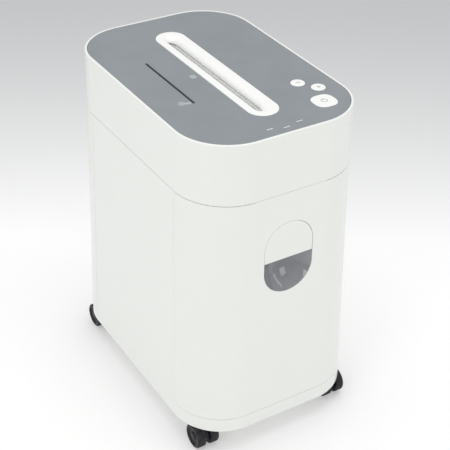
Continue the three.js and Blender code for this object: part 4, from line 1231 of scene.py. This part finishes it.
@dataclass
class Keypad:
    """The three keys, their printed symbols, and the circuit board under them."""

    board_thickness: float = 1.6
    ink: float = 0.05  # thickness of a printed symbol
    sheet_mark: tuple[float, float] = (-30.7, 0.0)
    disc_mark: tuple[float, float] = (-78.0, -55.5)
    card_mark: tuple[float, float] = (-70.7, -58.6)

    def keys(self) -> list[Key]:
        """The keys of the frame."""
        return [Key("key_small_rear", False), Key("key_small_front", False), Key("key_power", True)]

    def bar(self, bm: bmesh.types.BMesh, centre: Sequence[float], size: Sequence[float],
            turn: float = 0.0) -> None:
        """Lay one printed bar with round ends.

        Args:
            bm: Mesh of the symbol.
            centre: Its middle, on the printed surface.
            size: Length and width.
            turn: Turn in degrees, nought for a bar along X.
        """
        length, width = size
        half = width / 2
        rings = [ring(bm, length / 2, half, half, z, steps=16) for z in (0.0, self.ink)]
        loft(bm, rings)
        place = Matrix.Translation(Vector(centre)) @ Matrix.Rotation(math.radians(turn), 4, "Z")
        bmesh.ops.transform(bm, matrix=place, verts=rings[0] + rings[1])

    def loop(self, bm: bmesh.types.BMesh, centre: Sequence[float], radius: float, width: float) -> None:
        """Lay one printed ring."""
        rings = []
        for margin, z in ((0, 0.0), (width, 0.0), (width, self.ink), (0, self.ink)):
            half = radius - margin
            rings.append(ring(bm, half, half, half, z, steps=48))
        loft_round(bm, rings)
        shift(bm, rings, centre)

    def window(self, bm: bmesh.types.BMesh, centre: Sequence[float], half: Sequence[float],
               width: float) -> None:
        """Lay one printed rectangle's outline."""
        rings = []
        for margin, z in ((0, 0.0), (width, 0.004), (width, self.ink - 0.004), (0, self.ink)):
            made = bmesh.ops.create_circle(bm, cap_ends=False, segments=4, radius=math.sqrt(2),
                                           matrix=Matrix.Rotation(math.pi / 4, 4, "Z"))["verts"]
            for vert in made:
                vert.co = Vector((vert.co.x * (half[0] - margin), vert.co.y * (half[1] - margin), z))
            rings.append(made)
        loft_round(bm, rings)
        shift(bm, rings, centre)

    def panel_symbols(self) -> bpy.types.Object:
        """Sheet symbol by the throat, disc and card symbols by the disc slot."""
        z = Box.of("top_panel").high.z + PRINT_LIFT
        bm = bmesh.new()
        x, y = self.sheet_mark
        self.window(bm, (x, y, z), (3.2, 4.0), 0.55)
        for step in (1.8, 0.0, -1.8):
            self.bar(bm, (x, y + step, z), (3.6, 0.5))
        for radius, width in ((3.8, 0.55), (1.3, 0.45)):
            self.loop(bm, (*self.disc_mark, z), radius, width)
        x, y = self.card_mark
        self.window(bm, (x, y, z), (2.8, 1.9), 0.5)
        self.bar(bm, (x, y + 0.6, z), (4.4, 0.5))
        piece = shape("panel_symbols", bm)
        return dress(piece, LIGHT_INK, "cabinet", "white_shell", sharp=30)

    def key_symbol(self, key: Key) -> bpy.types.Object:
        """Symbol on one key: a pair of chevrons, a back arrow or the on-off sign."""
        z = key.top + PRINT_LIFT
        bm = bmesh.new()
        if key.square:
            self.loop(bm, (key.x, key.y, z), 4.2, 0.7)
            self.bar(bm, (key.x, key.y + 2.2, z), (4.6, 0.75), turn=90)
        elif key.node.endswith("front"):
            for side in (-1, 1):
                self.bar(bm, (key.x, key.y + side * 1.25, z), (3.9, 0.7), turn=-side * 40)
            self.bar(bm, (key.x + 1.2, key.y, z), (4.6, 0.7))
        else:
            for shift in (-1.6, 1.6):
                for side in (-1, 1):
                    self.bar(bm, (key.x + shift, key.y + side * 1.1, z), (3.2, 0.7), turn=side * 45)
        piece = shape(key.node + "_symbol", bm)
        return dress(piece, PRINT_INK, key.node, "grey_panel", sharp=30)

    def board(self) -> bpy.types.Object:
        """Circuit board cut to the head's corner, with round corners of its own."""
        box, top = Box.of("control_board"), board_top()
        bm = bmesh.new()
        half_x, half_y = (box.high.x - box.low.x) / 2, (box.high.y - box.low.y) / 2
        rings = [ring(bm, half_x, half_y, 3, z, steps=32) for z in (top - self.board_thickness, top)]
        shift(bm, rings, (box.middle.x, box.middle.y, 0))
        loft(bm, rings)
        piece = shape("control_circuit", bm)
        limit = bmesh.new()
        outline = head_outline()
        loft(limit, [outline.ring(limit, z, 5.6) for z in (top - 10, top + 10)])
        combine(piece, shape("limit", limit), "INTERSECT")
        soften(piece, 0.15, segments=2)
        return dress(piece, BOARD, "cabinet", "circuit_board", "control_board")

    def components(self) -> None:
        """Push switches, a relay, a chip, capacitors and a connector on the board."""
        top = board_top()
        blocks = bmesh.new()
        for key in self.keys():
            brick(blocks, (key.x - 3, key.y - 3, top), (key.x + 3, key.y + 3, top + 2.6))
        brick(blocks, (50, -128, top), (60, -110, top + 9))
        brick(blocks, (62, -113, top), (68, -104, top + 1.6))
        brick(blocks, (50, -104, top), (57, -84, top + 6.5))
        for i in range(5):
            brick(blocks, (62 + 3 * i, -70, top), (63.6 + 3 * i, -66.8, top + 0.7))
        piece = shape("board_parts", blocks)
        soften(piece, 0.25, segments=2)
        dress(piece, BLACK_ABS, "cabinet", "black_plastic")
        buttons = bmesh.new()
        for key in self.keys():
            profile = [(0, 2.6), (1.7, 2.6), (1.7, 3.3), (1.5, BOARD_PARTS), (0, BOARD_PARTS)]
            turned(buttons, profile, Axis.Z, (key.x, key.y, top), steps=24)
        for x, y in ((64.0, -92.0), (98.0, -84.0), (55.0, -137.0)):
            profile = [(0, 0), (2.8, 0), (3.0, 0.4), (2.75, 1.2), (3.0, 1.6), (3.0, 6.6), (2.6, 7), (0, 6.8)]
            turned(buttons, profile, Axis.Z, (x, y, top), steps=32)
        piece = shape("board_cans", buttons)
        dress(piece, ZINC_STEEL, "cabinet", "steel", sharp=35)

    def build(self) -> None:
        """Build the keys, the symbols and the board."""
        for key in self.keys():
            key.build()
            self.key_symbol(key)
        self.panel_symbols()
        self.board()
        self.components()


# ---------------------------------------------------------------- casters


@dataclass
class Caster:
    """One twin-wheel caster: hood with its web, stem, axle and two dished wheels."""

    tag: str
    wheel_radius: float = 17.3
    axle_radius: float = 3.0
    stem_radius: float = 5.0
    web_radius: float = 12.0

    @staticmethod
    def tags() -> list[str]:
        """Names of the four corners."""
        return [f"{end}_{side}" for end in ("front", "rear") for side in ("left", "right")]

    def wheel(self, side: str) -> bpy.types.Object:
        """Wheel with a dished outer face, a hub cap, rounded shoulders and a blind bore."""
        node = f"caster_wheel_{self.tag}_{side}"
        box = Box.of(node)
        half = (box.high.x - box.low.x) / 2
        way = 1 if side == "right" else -1
        radius, bore = self.wheel_radius, self.axle_radius + AIR
        face = [(0, half - 0.5), (4.4, half - 0.55), (5.4, half - 0.9), (5.9, half - 1.6), (6.3, half - 2.2)]
        face += [(11.9, half - 1.7), (12.5, half - 1.2), (12.8, half - 0.3), (13.3, half)]
        shoulder = [(radius - 2.2 + rise * 2.2, half - 2.2 + run * 2.2) for run, rise in arc(1.0, 5)]
        bend = arc(1.0, 4, start=90, end=0)
        inner = [(radius - 1.8 + rise * 1.8, 1.8 - half - run * 1.8) for run, rise in bend]
        back = [(9.5, -half), (9.0, 1.6 - half), (5.2, 1.9 - half), (4.9, -half), (bore, -half)]
        profile = face + shoulder + [(radius, 0.5)] + inner + back + [(bore, half - 3.2), (0, half - 3.2)]
        bm = bmesh.new()
        turned(bm, [(r, way * h) for r, h in profile], Axis.X, tuple(box.middle), steps=72)
        for part in bm.faces:
            spot = part.calc_center_median() - box.middle
            part.material_index = int(math.hypot(spot.y, spot.z) > radius - 2.4)
        piece = shape(f"wheel_{self.tag}_{side}_tyre", bm)
        piece.data.materials.append(BLACK_NYLON.material())
        return dress(piece, TREAD_NYLON, f"wheel_{self.tag}_{side}", "caster_tread", node, sharp=50)

    def hood(self) -> bpy.types.Object:
        """Web between the wheels, drawn up into the round collar for the stem."""
        box = Box.of(f"caster_hood_{self.tag}")
        axle = Box.of(f"caster_axle_{self.tag}").middle
        stem = Box.of(f"caster_stem_{self.tag}").middle
        web_half = (Box.of(f"caster_wheel_{self.tag}_right").low.x - axle.x) - AIR
        deck = Box.of("cabinet_shell").low.z
        out = math.copysign(1, axle.y - stem.y)
        bm = bmesh.new()
        for x in (-web_half + 0.4, web_half - 0.4):
            place = Matrix.Translation((axle.x + x, axle.y, axle.z)) @ Matrix.Rotation(math.pi / 2, 4, "Y")
            bmesh.ops.create_circle(bm, cap_ends=False, segments=64, radius=self.web_radius, matrix=place)
            back = stem.y - out * 5.6
            for y, z in ((back, deck - 0.5), (axle.y - out * 2, deck - 0.5), (back, deck - 10)):
                bm.verts.new((axle.x + x, y, z))
        hull = bmesh.ops.convex_hull(bm, input=bm.verts[:])
        inner = list(dict.fromkeys(g for g in hull["geom_interior"] if g.is_valid))
        bmesh.ops.delete(bm, geom=inner, context="VERTS")
        bmesh.ops.dissolve_limit(bm, angle_limit=math.radians(1), verts=bm.verts[:], edges=bm.edges[:])
        piece = shape(f"hood_{self.tag}", bm)
        collar = bmesh.new()
        low, high = deck + 0.175, box.high.z
        profile = [(0, low - 4), (5.6, low - 4), (7.4, low), (8, low + 0.6), (8, high - 0.8), (7.2, high)]
        turned(collar, profile + [(0, high)], Axis.Z, (stem.x, stem.y, 0))
        combine(piece, shape("collar", collar), "UNION")
        holes = bmesh.new()
        rod(holes, self.axle_radius + AIR, -9, 9, Axis.X, tuple(axle))
        rod(holes, self.stem_radius + AIR, low + 2, high + 1, Axis.Z, (stem.x, stem.y, 0))
        combine(piece, shape("holes", holes))
        soften(piece, 0.35, segments=2)
        return dress(piece, BLACK_NYLON, f"caster_{self.tag}", "caster_plastic", f"caster_hood_{self.tag}")

    def metal(self) -> None:
        """Stem with a grip groove and axle with chamfered ends."""
        stem, axle = Box.of(f"caster_stem_{self.tag}"), Box.of(f"caster_axle_{self.tag}")
        low, high = stem.low.z, stem.high.z
        bm = bmesh.new()
        radius = self.stem_radius
        profile = [(0, low), (4.4, low), (radius, low + 0.6), (radius, high - 5), (4.2, high - 4.4)]
        profile += [(4.2, high - 3.2), (radius, high - 2.6), (radius, high - 1), (4, high), (0, high)]
        turned(bm, profile, Axis.Z, (stem.middle.x, stem.middle.y, 0))
        body = f"caster_{self.tag}"
        dress(shape(f"stem_{self.tag}", bm), ZINC_STEEL, body, "steel", f"caster_stem_{self.tag}", sharp=35)
        bm = bmesh.new()
        reach = (axle.high.x - axle.low.x) / 2
        radius = self.axle_radius
        turned(bm, [(0, -reach), (radius - 0.5, -reach), (radius, 0.5 - reach), (radius, reach - 0.5),
                    (radius - 0.5, reach), (0, reach)], Axis.X, tuple(axle.middle))
        dress(shape(f"axle_{self.tag}", bm), ZINC_STEEL, body, "steel", f"caster_axle_{self.tag}", sharp=35)

    def build(self) -> None:
        """Build the caster's pieces."""
        self.hood()
        self.metal()
        self.wheel("left")
        self.wheel("right")


# ---------------------------------------------------------------- cutter block


@dataclass
class CutterBlock:
    """Everything inside the head, which keeps the frame's shapes: plates, drums, gears, motor and switch."""

    finishes: tuple[tuple[Finish, tuple[str, ...]], ...] = (
        (ZINC_STEEL, ("side_plate_front", "side_plate_rear", "gearbox_plate", "tie_rod_left", "tie_rod_right",
                      "idler_axle", "motor_body", "motor_pinion")),
        (SINTERED_BRONZE, ("bush_front_a", "bush_front_b", "bush_rear_a", "bush_rear_b")),
        (CUTTER_STEEL, ("cutter_drum_a", "cutter_drum_b")),
        (NATURAL_NYLON, ("stripper_comb_left", "stripper_comb_right", "sync_gear_a", "sync_gear_b",
                         "drive_gear", "compound_gear")),
        (BLACK_ABS, ("interlock_switch",)),
    )

    def build(self) -> None:
        """Finish the nodes that keep their shape."""
        for finish, nodes in self.finishes:
            for node in nodes:
                dress_node(node, finish)


# ---------------------------------------------------------------- studio


@dataclass
class Studio:
    """Camera, soft lights, an even sky and the white sweep."""

    azimuth: float = -31.77  # degrees, from straight in front, towards +X
    elevation: float = 33.73
    roll: float = 1.035
    distance: float = 1578.1  # mm
    target: tuple[float, float, float] = (10.63, -15.27, 235.0)
    lens: float = 92.94
    sky: float = 0.64

    def camera(self) -> None:
        """Place the camera by its angles about the target."""
        turn, lift, tilt = (math.radians(a) for a in (self.azimuth, self.elevation, self.roll))
        back = Vector((math.sin(turn) * math.cos(lift), -math.cos(turn) * math.cos(lift), math.sin(lift)))
        right = Vector((0, 0, 1)).cross(back).normalized()
        up = back.cross(right)
        level_right, level_up = right, up
        right = level_right * math.cos(tilt) + level_up * math.sin(tilt)
        up = level_up * math.cos(tilt) - level_right * math.sin(tilt)
        data = bpy.data.cameras.new("camera")
        data.lens = self.lens
        data.sensor_width = 36.0
        data.clip_end = 50.0
        eye = bpy.data.objects.new("camera", data)
        place = Matrix((right, up, back)).transposed().to_4x4()
        place.translation = (Vector(self.target) + back * self.distance) * MM
        eye.matrix_world = place
        bpy.context.scene.collection.objects.link(eye)
        bpy.context.scene.camera = eye

    def softbox(self, name: str, place: Sequence[float], aim: Sequence[float], size: Sequence[float],
                power: float) -> None:
        """Hang one rectangular softbox.

        Args:
            name: Name of the light.
            place: Its middle, in millimetres.
            aim: Point it faces, in millimetres.
            size: Width and height, in millimetres.
            power: Watts.
        """
        data = bpy.data.lights.new(name, "AREA")
        data.shape = "RECTANGLE"
        data.size, data.size_y = (s * MM for s in size)
        data.energy = power
        lamp = bpy.data.objects.new(name, data)
        towards = (Vector(place) - Vector(aim)).normalized().to_track_quat("Z", "Y")
        lamp.matrix_world = Matrix.Translation(Vector(place) * MM) @ towards.to_matrix().to_4x4()
        bpy.context.scene.collection.objects.link(lamp)

    def lights(self) -> None:
        """Even sky, a broad top light, a key from the front left, and a box and a strip on the right."""
        world = bpy.data.worlds.new("sky")
        world.use_nodes = True
        background = world.node_tree.nodes["Background"]
        background.inputs["Color"].default_value = linear("FFFFFF")
        background.inputs["Strength"].default_value = self.sky
        bpy.context.scene.world = world
        self.softbox("top_light", (0, 0, 2600), (0, 0, 0), (2200, 2200), 24)
        self.softbox("key_light", (-2100, -1000, 1500), (0, 0, 250), (1000, 1200), 9)
        self.softbox("side_strip", (1700, -1300, 1100), (0, 0, 250), (350, 1300), 1.8)
        self.softbox("front_box", (630, -1700, 800), (0, -180, 250), (520, 520), 1.4)

    def floor(self) -> None:
        """Lay the white sweep."""
        bm = bmesh.new()
        bmesh.ops.create_grid(bm, x_segments=1, y_segments=1, size=9000)
        ground = shape("floor", bm, closed=False)
        ground.data.materials.append(FLOOR_WHITE.material())

    def build(self) -> None:
        """Set up the whole studio."""
        bpy.context.scene.view_settings.view_transform = "Standard"
        self.camera()
        self.lights()
        self.floor()


# ---------------------------------------------------------------- all together


def write_sizes() -> None:
    """Bring the scene up to date."""
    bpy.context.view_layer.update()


def main() -> None:
    """Build the studio and every sub-assembly in order."""
    logging.basicConfig(level=logging.INFO, format="%(message)s", stream=sys.stdout)
    Studio().build()
    Cabinet().build()
    Bin().build()
    Head().build()
    Keypad().build()
    for tag in Caster.tags():
        Caster(tag).build()
    CutterBlock().build()
    write_sizes()


if __name__ == "__main__":
    main()
